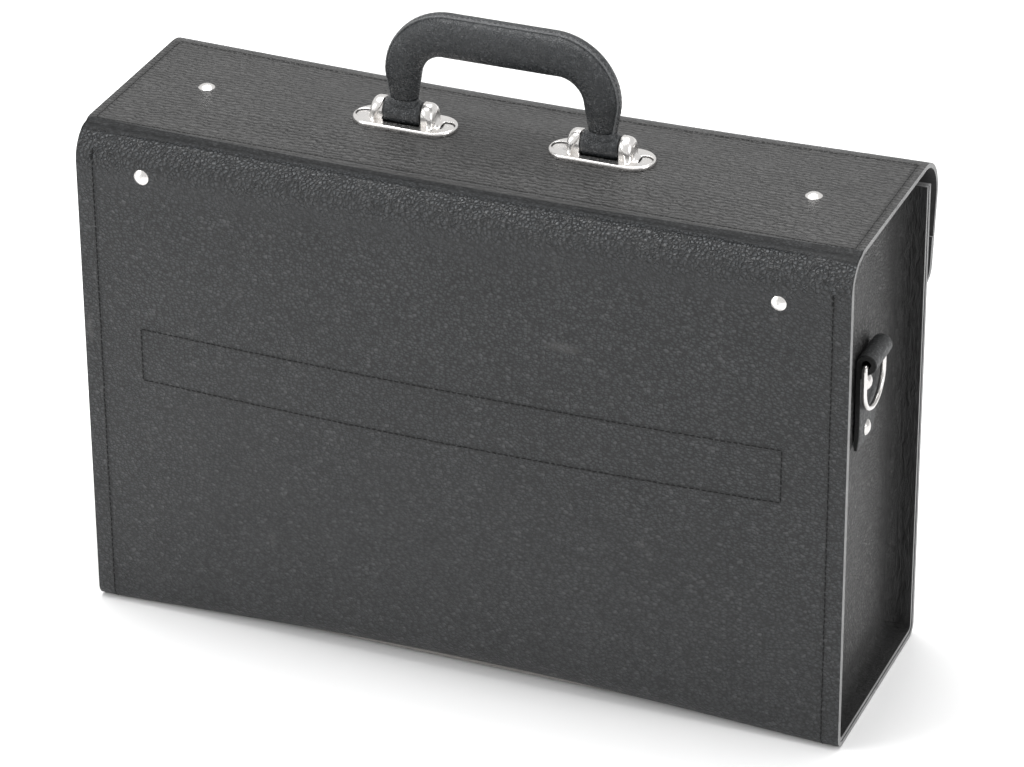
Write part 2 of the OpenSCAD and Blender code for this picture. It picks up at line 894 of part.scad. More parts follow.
module strap_ring() {
    color(nickel)
    translate([tab_x, carry_y, ring_bar_z]) ring_shape();
}

module strap_ring_right() {
    strap_ring();
}

module strap_ring_left() {
    mirror([1, 0, 0]) strap_ring();
}

// ---- catch buttons ----

// Turning thumb piece with a grip rib, its post and the head that holds it inside the case
module catch_button() {
    rib_w = 2;
    rib_h = 2;
    post_l = button_y - half_d + sheet_t + washer_t + button_gap;
    color(nickel)
    translate([0, -button_y, catch_z]) {
        rotate([90, 0, 0]) linear_extrude(button_t) stadium(button_l, button_w);
        translate([0, -button_t, 0]) rotate([90, 0, 0])
            linear_extrude(rib_h) stadium(button_l - button_w, rib_w);
        translate([0, post_l, 0]) towards_front(post_d, post_l);
        translate([0, post_l + post_head_t, 0]) towards_front(post_head_d, post_head_t);
    }
}

module catch_button_right() {
    translate([catch_x, 0, 0]) catch_button();
}

module catch_button_left() {
    translate([-catch_x, 0, 0]) catch_button();
}

body_sheet();
gusset_left();
gusset_right();
bottom_board();
back_bar();
back_rivets();
instrument_strip();
for (i = [1:loop_count]) {
    instrument_loop(i);
}
ring_tab_left();
ring_tab_right();
tab_rivets();
catch_base_left();
catch_base_right();
catch_base_rivets();
catch_washers();
hinge_bend();
lid_panel();
lid_board();
lid_lining();
lid_bar();
lid_rivets();
handle_bracket_left();
handle_bracket_right();
pivot_bars();
bracket_rivets();
flap_bend();
flap_panel();
flap_strip();
strike_plates();
strike_rivets();
handle_grip();
handle_core();
handle_loops();
strap_ring_left();
strap_ring_right();
catch_button_left();
catch_button_right();
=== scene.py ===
"""The looks of the drafting instrument case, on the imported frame. Lengths are in metres."""
import math
import random

import bpy
import numpy as np
from mathutils import Matrix, Vector
from mathutils.geometry import tessellate_polygon


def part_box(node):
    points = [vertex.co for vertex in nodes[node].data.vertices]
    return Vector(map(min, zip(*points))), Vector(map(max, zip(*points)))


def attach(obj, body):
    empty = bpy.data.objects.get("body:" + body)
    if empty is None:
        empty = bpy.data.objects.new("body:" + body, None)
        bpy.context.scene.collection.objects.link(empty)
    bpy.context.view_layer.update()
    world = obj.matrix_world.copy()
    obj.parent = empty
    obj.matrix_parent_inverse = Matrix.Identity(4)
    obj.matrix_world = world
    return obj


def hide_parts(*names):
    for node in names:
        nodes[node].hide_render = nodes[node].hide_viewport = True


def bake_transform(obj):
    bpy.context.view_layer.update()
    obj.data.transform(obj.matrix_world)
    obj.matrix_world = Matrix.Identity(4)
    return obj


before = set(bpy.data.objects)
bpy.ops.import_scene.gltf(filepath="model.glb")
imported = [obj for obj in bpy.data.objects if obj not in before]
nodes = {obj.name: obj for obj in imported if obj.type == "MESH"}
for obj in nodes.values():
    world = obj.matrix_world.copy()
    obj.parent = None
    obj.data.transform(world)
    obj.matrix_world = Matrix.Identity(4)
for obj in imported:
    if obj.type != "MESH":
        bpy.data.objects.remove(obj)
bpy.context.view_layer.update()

MM = 0.001

# ---- sizes, read from the frame ----

body_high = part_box("body_sheet")[1]
lid_low, lid_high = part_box("lid_panel")
hinge_low, hinge_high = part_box("hinge_bend")
front_bend_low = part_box("flap_bend")[0]
strip_low, strip_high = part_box("instrument_strip")
tab_low, tab_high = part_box("ring_tab_right")
bar_low, bar_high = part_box("lid_bar")

HALF_W = body_high.x
HALF_D = hinge_high.y
TOP = lid_high.z
SHEET_T = lid_high.z - lid_low.z
MOUTH = body_high.z
HINGE_R = TOP - hinge_low.z
HINGE_Y = HALF_D - HINGE_R
HINGE_Z = TOP - HINGE_R
GUSSET_X = tab_low.x
GUSSET_T = 2.2 * MM
BASE_R = 8 * MM
FLAP_R = 24 * MM
FLAP_Y = front_bend_low.y + FLAP_R
FLAP_Z = TOP - FLAP_R
FLAP_DROP = 70 * MM
FLAP_CORNER_R = 28 * MM
FLAP_LAYERS = 4.4 * MM
FLAP_GAP = 0.6 * MM
FLAP_LEAN = math.asin((-front_bend_low.y - HALF_D - FLAP_LAYERS - FLAP_GAP) / FLAP_DROP)
CARRY_Y = (bar_low.y + bar_high.y) / 2
JOIN_Y = CARRY_Y

# How far the leather gives, in the middle of the case, from the flat shapes of the frame
BACK_BULGE = 11 * MM
LID_DROOP = 3.6 * MM
ROUND_BASE_R = 22 * MM
# How far the middle of a cut edge stands out, as a share of the thickness
EDGE_CROWN = 0.12

# The sewn lines
SEAM_X = HALF_W - 10 * MM
LID_LINE_BACK = HINGE_Y + 2 * MM
LID_LINE_FRONT = FLAP_Y - 0.5 * MM
LID_LINE_SIDE = HALF_W - 4.7 * MM
STRIP_X = strip_high.x
STRIP_SAG = 3 * MM
STITCH_PITCH = 3.4 * MM
LID_PITCH = 3 * MM
# The grain: its pebbles, the lid's cells and ripples, the cells where the sheet flexes, and their reliefs
PEBBLE, LID_CELL, LID_RIPPLE, FLEX_CELL = 1.65 * MM, 2.3 * MM, 2.9 * MM, 2.1 * MM
BACK_RELIEF, LID_RELIEF, FLEX_RELIEF = 0.42 * MM, 1.15 * MM, 0.80 * MM
# Half sizes of the rubbed spot on the back, across and along the sheet
SCUFF_SIZE = (13 * MM, 3.5 * MM)
# Half the width of the dent beside a seam, and of the painted shade along it
SEAM_REACH = 2.0 * MM


# ---- camera ----

CAMERA_PLACE = Vector((-0.88676, 2.1525, 1.42294))
CAMERA_FORWARD = Vector((0.32949, -0.81446, -0.47758))
CAMERA_RIGHT = Vector((-0.92794, -0.37269, -0.00462))
CAMERA_LENS = 166.55
CAMERA_SHIFT = (-0.01581, -0.01017)


def place_object(name, data):
    """A new object, linked into the scene."""
    made = bpy.data.objects.new(name, data)
    bpy.context.scene.collection.objects.link(made)
    return made


def make_camera():
    """The camera at the photograph's viewing angle."""
    data = bpy.data.cameras.new("camera")
    data.lens = CAMERA_LENS
    data.sensor_width = 36
    data.shift_x, data.shift_y = CAMERA_SHIFT
    data.clip_end = 50
    camera = place_object("camera", data)
    forward = CAMERA_FORWARD.normalized()
    right = (CAMERA_RIGHT - forward * CAMERA_RIGHT.dot(forward)).normalized()
    up = right.cross(forward)
    turn = Matrix((right, up, -forward)).transposed()
    camera.matrix_world = Matrix.Translation(CAMERA_PLACE) @ turn.to_4x4()
    bpy.context.scene.camera = camera


make_camera()


# ---- materials ----

class Shader:
    """A new material with short calls for its nodes."""

    def __init__(self, name):
        self.material = bpy.data.materials.new(name)
        self.material.use_nodes = True
        self.tree = self.material.node_tree
        self.surface = self.tree.nodes["Principled BSDF"]

    def node(self, kind, inputs=None, **settings):
        made = self.tree.nodes.new(kind)
        for key, value in settings.items():
            setattr(made, key, value)
        for key, value in (inputs or {}).items():
            self.feed(made.inputs[key], value)
        return made

    def feed(self, socket, value):
        if isinstance(value, bpy.types.NodeSocket):
            self.tree.links.new(value, socket)
        else:
            socket.default_value = value

    def math(self, operation, a, b=0.0):
        return self.node("ShaderNodeMath", {0: a, 1: b}, operation=operation).outputs[0]

    def plus(self, a, b):
        return self.math("ADD", a, b)

    def minus(self, a, b):
        return self.math("SUBTRACT", a, b)

    def product(self, a, b):
        return self.math("MULTIPLY", a, b)

    def remap(self, value, low, high, to_low, to_high):
        return self.node("ShaderNodeMapRange", {
            "Value": value, "From Min": low, "From Max": high, "To Min": to_low, "To Max": to_high,
        }).outputs["Result"]

    def mix(self, factor, a, b):
        """Mixes two colours."""
        return self.node("ShaderNodeMix", {0: factor, 6: a, 7: b}, data_type="RGBA").outputs[2]

    def blend(self, factor, a, b):
        """Mixes two numbers."""
        return self.node("ShaderNodeMix", {0: factor, 2: a, 3: b}, data_type="FLOAT").outputs[0]

    def times(self, colour, factor):
        return self.node("ShaderNodeVectorMath", {0: colour, "Scale": factor}, operation="SCALE").outputs[0]

    def flat(self):
        """A vertex's place on the flat leather, from its UV layer."""
        return self.node("ShaderNodeUVMap", uv_map="flat").outputs[0]

    def place(self):
        return self.node("ShaderNodeTexCoord").outputs["Object"]

    def layer(self, name):
        return self.node("ShaderNodeAttribute", attribute_name=name).outputs["Fac"]

    def split(self, vector):
        return self.node("ShaderNodeSeparateXYZ", {"Vector": vector}).outputs[:2]

    def noise(self, vector, scale, detail=3.0, roughness=0.55):
        return self.node("ShaderNodeTexNoise", {
            "Vector": vector, "Scale": scale, "Detail": detail, "Roughness": roughness,
        }).outputs["Fac"]

    def tone(self, vector, scale):
        """Broad, soft changes from 0 to 1."""
        return self.remap(self.noise(vector, scale, 4.0), 0.3, 0.7, 0.0, 1.0)

    def scaled(self, vector, scale):
        return self.node("ShaderNodeMapping", {"Vector": vector, "Scale": scale}).outputs[0]

    def warped(self, vector, scale, amount):
        """The vector, pushed about by noise so that cells lose their regular look."""
        push = self.node("ShaderNodeTexNoise", {"Vector": vector, "Scale": scale, "Detail": 2.0})
        centred = self.node("ShaderNodeVectorMath", {0: push.outputs["Color"], 1: (0.5, 0.5, 0.5)},
                            operation="SUBTRACT")
        small = self.times(centred.outputs[0], amount)
        return self.node("ShaderNodeVectorMath", {0: vector, 1: small}).outputs[0]

    def cells(self, vector, size, squeeze=1.0):
        """Rounded grain cells with narrow valleys: (height, a number that differs by cell)."""
        vector = self.scaled(vector, (squeeze, 1.0, 1.0))
        edges = self.node("ShaderNodeTexVoronoi", {"Vector": vector, "Scale": 1 / size},
                          feature="DISTANCE_TO_EDGE").outputs["Distance"]
        cell = self.node("ShaderNodeTexVoronoi", {"Vector": vector, "Scale": 1 / size})
        luck = self.split(cell.outputs["Color"])[0]
        off = cell.outputs["Distance"]
        dome = self.remap(self.product(off, off), 0.0, 0.36, 1.0, 0.35)
        dome = self.product(dome, self.remap(edges, 0.0, 0.14, 0.0, 1.0))
        return self.product(dome, self.remap(luck, 0.0, 1.0, 0.7, 1.0)), luck

    def ripples(self, vector, pitch):
        """Wavy ridges that run across the sheet, with narrow valleys."""
        turns = self.product(self.split(vector)[1], 2 * math.pi / pitch)
        wave = self.remap(self.math("SINE", turns), -1.0, 1.0, 0.0, 1.0)
        return self.math("POWER", wave, 0.55)

    def bump(self, height, distance, strength=1.0):
        made = self.node("ShaderNodeBump", {"Height": height, "Distance": distance, "Strength": strength})
        self.set(Normal=made.outputs[0])

    def set(self, **values):
        for key, value in values.items():
            self.feed(self.surface.inputs[key.replace("_", " ")], value)


def grey(value, warm=0.0):
    return (value * (1 + warm), value, value * (1 - warm), 1)


def seam_mask(s, flat, seams, reach, sag):
    """1 along the middle of each sewn line, and 0 at reach from it.

    A seam is (axis, place, from, to). Its axis is "side" for a line up the sheet at a distance from the
    middle, "along" for one across the sheet, and "sagged" for one that bows down by sag."""
    across, along = s.split(flat)
    side = s.math("ABSOLUTE", across)
    bowed = s.math("DIVIDE", across, STRIP_X)
    bowed = s.minus(1.0, s.product(bowed, bowed))
    sagged = s.plus(along, s.product(bowed, sag))
    mask = 0.0
    for axis, place, low, high in seams:
        here, other = {"side": (side, along), "along": (along, side), "sagged": (sagged, side)}[axis]
        off = s.math("ABSOLUTE", s.minus(here, place))
        near = s.remap(off, 0.0, reach, 1.0, 0.0)
        within = s.product(s.math("GREATER_THAN", other, low), s.math("LESS_THAN", other, high))
        mask = s.math("MAXIMUM", mask, s.product(near, within))
    return mask


def zone_gain(s, along, zones):
    """A factor along the sheet: gain from low to high in each zone, and 1 elsewhere."""
    soft = 1.3 * MM
    total = 1.0
    for low, high, gain in zones:
        rise = s.remap(along, low - soft, low + soft, 0.0, 1.0)
        fall = s.remap(along, high - soft, high + soft, 1.0, 0.0)
        total = s.product(total, s.blend(s.product(rise, fall), 1.0, gain))
    return total


def sheet_leather(name, seams, zones=(), scuff=None, shine=0.42):
    """The pebble-grained sheet. Vertex layers say where it is flexed and where it is the lid's.

    scuff is the place of a rubbed spot on the flat sheet, and shine its gloss."""
    s = Shader(name)
    flat = s.flat()
    flexed, on_lid = s.layer("flexed"), s.layer("on_lid")
    pebbles, luck = s.cells(s.warped(flat, 320.0, 1.6 * MM), PEBBLE, 0.72)
    lid_cells = s.cells(s.warped(flat, 300.0, 1.8 * MM), LID_CELL, 0.45)[0]
    ripples = s.ripples(s.warped(flat, 200.0, 5.5 * MM), LID_RIPPLE)
    lid_cells = s.blend(0.55, lid_cells, ripples)
    creases = s.cells(s.warped(flat, 260.0, 1.6 * MM), FLEX_CELL, 0.9)[0]
    height = s.blend(flexed, s.blend(on_lid, pebbles, lid_cells), creases)
    luck = s.product(luck, s.minus(1.0, s.math("MAXIMUM", flexed, on_lid)))
    fine = s.noise(flat, 2100.0)
    tone = s.tone(flat, 9.0)
    # Painted shade: the grain's valleys are painted darker than its domes, darkest on the lid
    valley = s.mix(on_lid, grey(0.006, -0.06), grey(0.001, 0.01))
    dome = s.mix(tone, grey(0.042, -0.06), grey(0.053, -0.06))
    # Painted light: on the lid the domes are painted lighter than on the back, as light falling on the top
    dome = s.mix(on_lid, dome, s.mix(tone, grey(0.066, 0.01), grey(0.077, 0.015)))
    dome = s.mix(flexed, dome, grey(0.050, -0.07))
    colour = s.mix(height, valley, dome)
    # A few random grains turn lighter
    lighter_grains = s.remap(luck, 0.85, 0.99, 0.0, 0.3)
    colour = s.mix(lighter_grains, colour, grey(0.085, -0.02))
    rubbed = s.remap(s.noise(s.scaled(s.warped(flat, 30.0, 20 * MM), (1.0, 0.35, 1.0)), 75.0, 6.0),
                     0.68, 0.80, 0.0, 0.45)
    colour = s.mix(rubbed, colour, grey(0.10, 0.02))
    if scuff:
        across, along = s.split(s.warped(flat, 60.0, 9 * MM))
        x = s.math("DIVIDE", s.minus(across, scuff[0]), SCUFF_SIZE[0])
        y = s.math("DIVIDE", s.minus(along, scuff[1]), SCUFF_SIZE[1])
        off = s.plus(s.product(x, x), s.product(y, y))
        colour = s.mix(s.remap(off, 0.2, 1.0, 0.25, 0.0), colour, grey(0.11, 0.02))
    # The zones' gains scale the colour: below the lid's rear seam a band is darkened as painted shade, and on
    # the flap past the front seam the colour is lighter
    gain = zone_gain(s, s.split(flat)[1], zones)
    # Painted shade: the colour is darkened along the sewn lines, in the seams' grooves
    groove = seam_mask(s, flat, seams, SEAM_REACH, STRIP_SAG)
    colour = s.times(colour, s.product(gain, s.remap(groove, 0.0, 0.9, 1.0, 0.6)))
    s.set(Base_Color=colour)
    rough = s.remap(s.noise(flat, 40.0), 0.3, 0.7, 0.40, 0.52)
    rough = s.minus(rough, s.product(flexed, 0.17))
    rough = s.minus(rough, s.remap(luck, 0.6, 1.0, 0.0, 0.10))
    s.set(Roughness=rough, Specular_IOR_Level=shine)
    relief = s.plus(s.product(height, s.remap(gain, 0.7, 1.0, 0.15, 1.0)),
                    s.product(fine, 0.22))
    relief = s.minus(relief, s.product(groove, 0.7))
    s.bump(relief, s.blend(flexed, s.blend(on_lid, BACK_RELIEF, LID_RELIEF), FLEX_RELIEF))
    return s.material


def grip_leather(name, value, cell, rough, painted_glints=0.0, shine=0.42, warm=-0.03):
    """Finer-grained leather of the handle, sleeves, tabs and edges. cell is a grain's size in millimetres.

    painted_glints is how far random grains are painted light as glints, shine the gloss, and warm the tint."""
    s = Shader(name)
    place = s.place()
    height, luck = s.cells(s.warped(place, 500.0, 0.8 * MM), cell * MM)
    fine = s.noise(place, 2400.0)
    tone = s.tone(place, 45.0)
    dome = s.mix(tone, grey(value, warm), grey(value * 1.3, warm))
    # Painted shade: the grain's valleys are painted darker than its domes
    colour = s.mix(height, grey(value * 0.45, warm), dome)
    # Painted highlight: random grains are painted lighter, as glints
    colour = s.mix(s.remap(luck, 0.78, 0.98, 0.0, painted_glints), colour, grey(0.12, -0.05))
    s.set(Base_Color=colour, Roughness=s.remap(luck, 0.0, 1.0, rough + 0.1, rough - 0.1))
    s.set(Specular_IOR_Level=shine)
    s.bump(s.plus(height, s.product(fine, 0.3)), 0.24 * MM)
    return s.material


def gusset_leather():
    """Side leather: pebbled on the panel, with wrinkles that run along the folded flanges. The panel is
    painted lighter, as light on the case's side, and the folds and flanges darker, as painted shade.
    """
    s = Shader("gusset_leather")
    place = s.place()
    flexed = s.layer("flexed")
    pebbles, luck = s.cells(s.warped(place, 350.0, 1.2 * MM), 1.9 * MM)
    along_fold = s.scaled(s.warped(place, 110.0, 3 * MM), (1.0, 1.0, 0.16))
    wrinkles = s.remap(s.noise(along_fold, 520.0, 6.0, 0.75), 0.35, 0.65, 0.0, 1.0)
    tone = s.tone(place, 12.0)
    # Painted light: the panel is painted lighter than the case's sheet, as lit from its side; its grain
    # valleys are painted darker as shade
    panel = s.mix(pebbles, grey(0.018), s.mix(tone, grey(0.092), grey(0.108, 0.01)))
    panel = s.mix(s.remap(luck, 0.82, 0.98, 0.0, 0.5), panel, grey(0.14, 0.01))
    # Painted shade: the folds and flanges are painted much darker than the panel, with darker wrinkle creases
    flange = s.mix(wrinkles, grey(0.002), grey(0.038))
    s.set(Base_Color=s.mix(flexed, panel, flange), Specular_IOR_Level=0.40,
          Roughness=s.remap(s.noise(place, 60.0), 0.3, 0.7, 0.36, 0.52))
    s.bump(s.blend(flexed, pebbles, wrinkles), 0.9 * MM)
    return s.material


def raw_edge():
    """Cut edge of the sheet: light grey fibres along the edge, a little dirty."""
    s = Shader("raw_edge")
    place = s.place()
    fibres = s.noise(place, 900.0, 5.0, 0.7)
    colour = s.mix(fibres, grey(0.13), s.mix(s.tone(place, 60.0), grey(0.40), grey(0.26)))
    s.set(Base_Color=colour, Roughness=0.75)
    s.bump(fibres, 0.25 * MM)
    return s.material


def lining_cloth():
    """Dark backing cloth on the insides."""
    s = Shader("lining_cloth")
    place = s.place()
    one = s.node("ShaderNodeTexWave", {"Vector": place, "Scale": 380.0, "Distortion": 1.5})
    turned = s.node("ShaderNodeMapping", {"Vector": place, "Rotation": (0.0, 0.0, math.pi / 2)})
    two = s.node("ShaderNodeTexWave", {"Vector": turned.outputs[0], "Scale": 380.0, "Distortion": 1.5})
    weave = s.math("MAXIMUM", one.outputs["Fac"], two.outputs["Fac"])
    fuzz = s.noise(place, 1500.0)
    yarn = s.mix(s.tone(place, 25.0), grey(0.045), grey(0.068))
    s.set(Base_Color=s.mix(s.product(weave, fuzz), grey(0.027), yarn), Roughness=0.9)
    s.bump(s.plus(weave, fuzz), 0.1 * MM, 0.6)
    return s.material


def metal(name, rough, value):
    """Plated metal with fine scratches and faint smudges."""
    s = Shader(name)
    place = s.place()
    smudge = s.noise(place, 120.0, 5.0)
    scratch = s.noise(s.scaled(place, (1.0, 0.15, 0.4)), 1600.0, 4.0)
    dull = s.remap(smudge, 0.35, 0.7, 0.0, 1.0)
    s.set(Base_Color=s.mix(dull, grey(value, 0.018), grey(value * 0.93, 0.03)))
    s.set(Roughness=s.remap(smudge, 0.3, 0.7, rough * 0.8, rough * 1.4), Metallic=1.0)
    s.bump(s.plus(s.product(scratch, 0.3), smudge), 0.008 * MM, 0.3)
    return s.material


def thread(name, dark, light):
    """Twisted sewing thread."""
    s = Shader(name)
    twist = s.noise(s.place(), 3500.0, 2.0)
    s.set(Base_Color=s.mix(twist, grey(dark), grey(light)), Roughness=0.75, Specular_IOR_Level=0.2)
    s.bump(twist, 0.08 * MM, 0.6)
    return s.material


def fibreboard():
    """Grey board with flecks and stains."""
    s = Shader("fibreboard")
    place = s.place()
    flecks = s.noise(place, 500.0, 6.0, 0.75)
    stain = s.mix(s.tone(place, 14.0), grey(0.24, 0.05), grey(0.3, 0.05))
    s.set(Base_Color=s.mix(flecks, grey(0.13, 0.04), stain), Roughness=0.88)
    s.bump(flecks, 0.12 * MM, 0.5)
    return s.material


GRIP = grip_leather("grip_leather", 0.018, 1.1, 0.27, 0.3, shine=0.55, warm=-0.16)
SLEEVE = grip_leather("sleeve_leather", 0.030, 1.1, 0.32, 0.5, shine=0.55, warm=-0.12)
TAB = grip_leather("tab_leather", 0.060, 1.6, 0.5, 0.1)
STRIP = grip_leather("strip_leather", 0.045, 1.5, 0.5, 0.2)
# Painted highlight: a light leather for the welt's shoulders, where the edges catch the light
WELT_HIGHLIGHT = grip_leather("welt_highlight", 0.16, 0.8, 0.30)
DARK_EDGE = grip_leather("dark_edge", 0.010, 0.8, 0.55)
GUSSET = gusset_leather()
EDGE = raw_edge()
LINING = lining_cloth()
NICKEL = metal("nickel", 0.24, 0.93)
# Painted shade: a darker copy of the nickel for the strap rings and their rivets
SHADED_NICKEL = metal("shaded_ring_nickel", 0.20, 0.66)
# Painted shade: a dark metal for the creases of the rivet dishes
DISH_SHADE = metal("dish_shade", 0.4, 0.12)
STEEL = metal("steel", 0.34, 0.5)
THREAD = thread("black_thread", 0.004, 0.016)
GREY_THREAD = thread("grey_thread", 0.09, 0.24)
BOARD = fibreboard()


# ---- meshes ----

def new_object(name, verts, faces, materials, face_material=None, sharp=None):
    """A mesh object from lists. face_material gives each face's place in materials."""
    mesh = bpy.data.meshes.new(name)
    mesh.from_pydata([tuple(v) for v in verts], [], [tuple(f) for f in faces])
    for material in materials:
        mesh.materials.append(material)
    if face_material is not None:
        mesh.polygons.foreach_set("material_index", np.array(face_material, np.int32))
    mesh.polygons.foreach_set("use_smooth", np.ones(len(mesh.polygons), bool))
    mesh.update()
    if sharp is not None:
        mesh.set_sharp_from_angle(angle=math.radians(sharp))
    return place_object(name, mesh)


def set_layer(obj, name, values):
    layer = obj.data.attributes.new(name, "FLOAT", "POINT")
    layer.data.foreach_set("value", np.asarray(values, np.float32))


def set_flat(obj, uv):
    """Gives each corner the flat place of its vertex, uv being one pair a vertex."""
    layer = obj.data.uv_layers.new(name="flat")
    corners = np.zeros(len(obj.data.loops), np.int32)
    obj.data.loops.foreach_get("vertex_index", corners)
    layer.data.foreach_set("uv", np.asarray(uv, np.float32)[corners].ravel())


def direction(degrees):
    """The (cosine, sine) of an angle."""
    return math.cos(math.radians(degrees)), math.sin(math.radians(degrees))


def circle(sides):
    """The (cosine, sine) of directions spaced evenly round a circle."""
    angles = (2 * math.pi * k / sides for k in range(sides))
    return [(math.cos(a), math.sin(a)) for a in angles]


def squared(value, power):
    """A cosine or sine raised to a power with its sign kept, which squares off a circle."""
    return math.copysign(abs(value) ** power, value)


def smoothstep(t):
    t = np.clip(t, 0.0, 1.0)
    return t * t * (3 - 2 * t)


def middle_swell(x, reach):
    """1 in the middle of the case and 0 from reach outwards."""
    return np.maximum(0.0, 1 - (x / reach) ** 2) ** 1.25


def grid_faces(rows, wide, first=0, closed=False, flip=False):
    """Quads between neighbouring rows of vertices. closed joins each row's end to its start."""
    made = []
    for r in range(rows - 1):
        for k in range(wide if closed else wide - 1):
            a, b = first + r * wide + k, first + r * wide + (k + 1) % wide
            quad = (a, b, b + wide, a + wide)
            made.append(quad[::-1] if flip else quad)
    return made


def border(rows, wide):
    """The (row, column) places round the edge of a grid, in order."""
    loop = [(i, 0) for i in range(rows)]
    loop += [(rows - 1, j) for j in range(1, wide)]
    loop += [(i, wide - 1) for i in range(rows - 2, -1, -1)]
    return loop + [(0, j) for j in range(wide - 2, 0, -1)]


# ---- the sheet's profile ----
# A profile is a row of samples, each (y, z, outward y, outward z, distance along the sheet).

def line_samples(start, end, count):
    (y0, z0), (y1, z1) = start, end
    length = math.hypot(y1 - y0, z1 - z0)
    out = ((z1 - z0) / length, -(y1 - y0) / length)
    return [(y0 + (y1 - y0) * t, z0 + (z1 - z0) * t, *out, length * t)
            for t in np.linspace(0, 1, count)]


def arc_samples(centre, radius, start, end, count):
    """An arc, with its angles in degrees from +Y towards +Z. Its outside faces away from its centre."""
    made = []
    for t in np.linspace(0, 1, count):
        c, s = direction(start + (end - start) * t)
        made.append((centre[0] + radius * c, centre[1] + radius * s, c, s,
                     abs(math.radians(end - start)) * radius * t))
    return made


def joined(*parts):
    """Parts end to end, without their shared samples and with the distances run on."""
    made, along = [], 0.0
    for index, part in enumerate(parts):
        for y, z, ny, nz, at in part[(1 if index else 0):]:
            made.append((y, z, ny, nz, along + at))
        along = made[-1][4]
    return np.array(made)


def back_profile(x):
    """From the middle of the base, up the back and over the hinge bend to the join on the lid."""
    r = BASE_R + (ROUND_BASE_R - BASE_R) * float(middle_swell(np.array(x), SEAM_X))
    return joined(
        line_samples((0, 0), (HALF_D - r, 0), 12),
        arc_samples((HALF_D - r, r), r, -90, 0, 12),
        line_samples((HALF_D, r), (HALF_D, HINGE_Z), 78),
        arc_samples((HINGE_Y, HINGE_Z), HINGE_R, 0, 90, 26),
        line_samples((HINGE_Y, TOP), (JOIN_Y, TOP), 20),
    )


def front_profile(_):
    """From the mouth, down the front to the middle of the base."""
    return joined(
        line_samples((-HALF_D, MOUTH), (-HALF_D, BASE_R), 60),
        arc_samples((-HALF_D + BASE_R, BASE_R), BASE_R, 180, 270, 10),
        line_samples((-HALF_D + BASE_R, 0), (0, 0), 12),
    )


def flap_profile(_):
    """From the join on the lid, over the front bend and down the flap."""
    edge_y = FLAP_Y - FLAP_R * math.cos(FLAP_LEAN)
    edge_z = FLAP_Z - FLAP_R * math.sin(FLAP_LEAN)
    return joined(
        line_samples((JOIN_Y, TOP), (FLAP_Y, TOP), 20),
        arc_samples((FLAP_Y, FLAP_Z), FLAP_R, 90, 180 + math.degrees(FLAP_LEAN), 26),
        line_samples((edge_y, edge_z), (edge_y + FLAP_DROP * math.sin(FLAP_LEAN),
                                        edge_z - FLAP_DROP * math.cos(FLAP_LEAN)), 30),
    )


def flap_strip_profile(x):
    whole = flap_profile(x)
    return whole[whole[:, 4] >= whole[-1, 4] - 46.001 * MM]


def lid_droop(x, y):
    """How far the lid's leather lies below the flat, away from the bar that carries the handle."""
    stiff, soft = 16 * MM, 34 * MM
    off_bar = smoothstep((np.abs(y - CARRY_Y) - stiff) / soft)
    return -LID_DROOP * middle_swell(x, HALF_W) * off_bar


def back_swell(x, z):
    """How far the back stands out at a height."""
    low, span, lean, fullness = 4 * MM, HINGE_Z + 12 * MM, 0.85, 1.1
    climb = np.clip((z - low) / span, 0, 1)
    return BACK_BULGE * np.sin(math.pi * climb ** lean) ** fullness * middle_swell(x, SEAM_X)


def back_give(x, y, z, ny):
    """How far the back stands out or the lid's rear droops, along the outward direction."""
    on_back = smoothstep(ny)
    on_lid = np.where(z > HINGE_Z, 1 - on_back, 0)
    turn = np.where(z > HINGE_Z, np.arctan2(y - HINGE_Y, np.maximum(z - HINGE_Z, 1e-6)), 2.0)
    past_line = HINGE_R * turn - (LID_LINE_BACK - HINGE_Y)
    depth, middle, reach = 0.8 * MM, 4 * MM, 2.6 * MM
    dip = -depth * np.exp(-((past_line - middle) / reach) ** 2) * (z > HINGE_Z)
    return back_swell(x, z) * on_back + lid_droop(x, y) * on_lid + dip


def front_give(_x, _y, z, _ny):
    return np.zeros_like(z)


def flap_give(x, y, _z, ny):
    return lid_droop(x, y) * (1 - 0.45 * smoothstep(-ny))


def columns():
    """Places of the sheet's columns, closer together near the side edges."""
    inner = np.linspace(-SEAM_X, SEAM_X, 104)
    edge = [HALF_W - d * MM for d in (0, 1.2, 3, 5, 7, 8.6)]
    return np.array([-e for e in edge] + list(inner) + edge[::-1])


def full_width(along, _total):
    return np.ones(len(along))


def flap_widths(along, total):
    """Rounds the flap's lower corners."""
    left = np.clip((FLAP_CORNER_R - (total - along)) / FLAP_CORNER_R, 0, 1)
    return (HALF_W - FLAP_CORNER_R * (1 - np.sqrt(np.maximum(0, 1 - left ** 2)))) / HALF_W


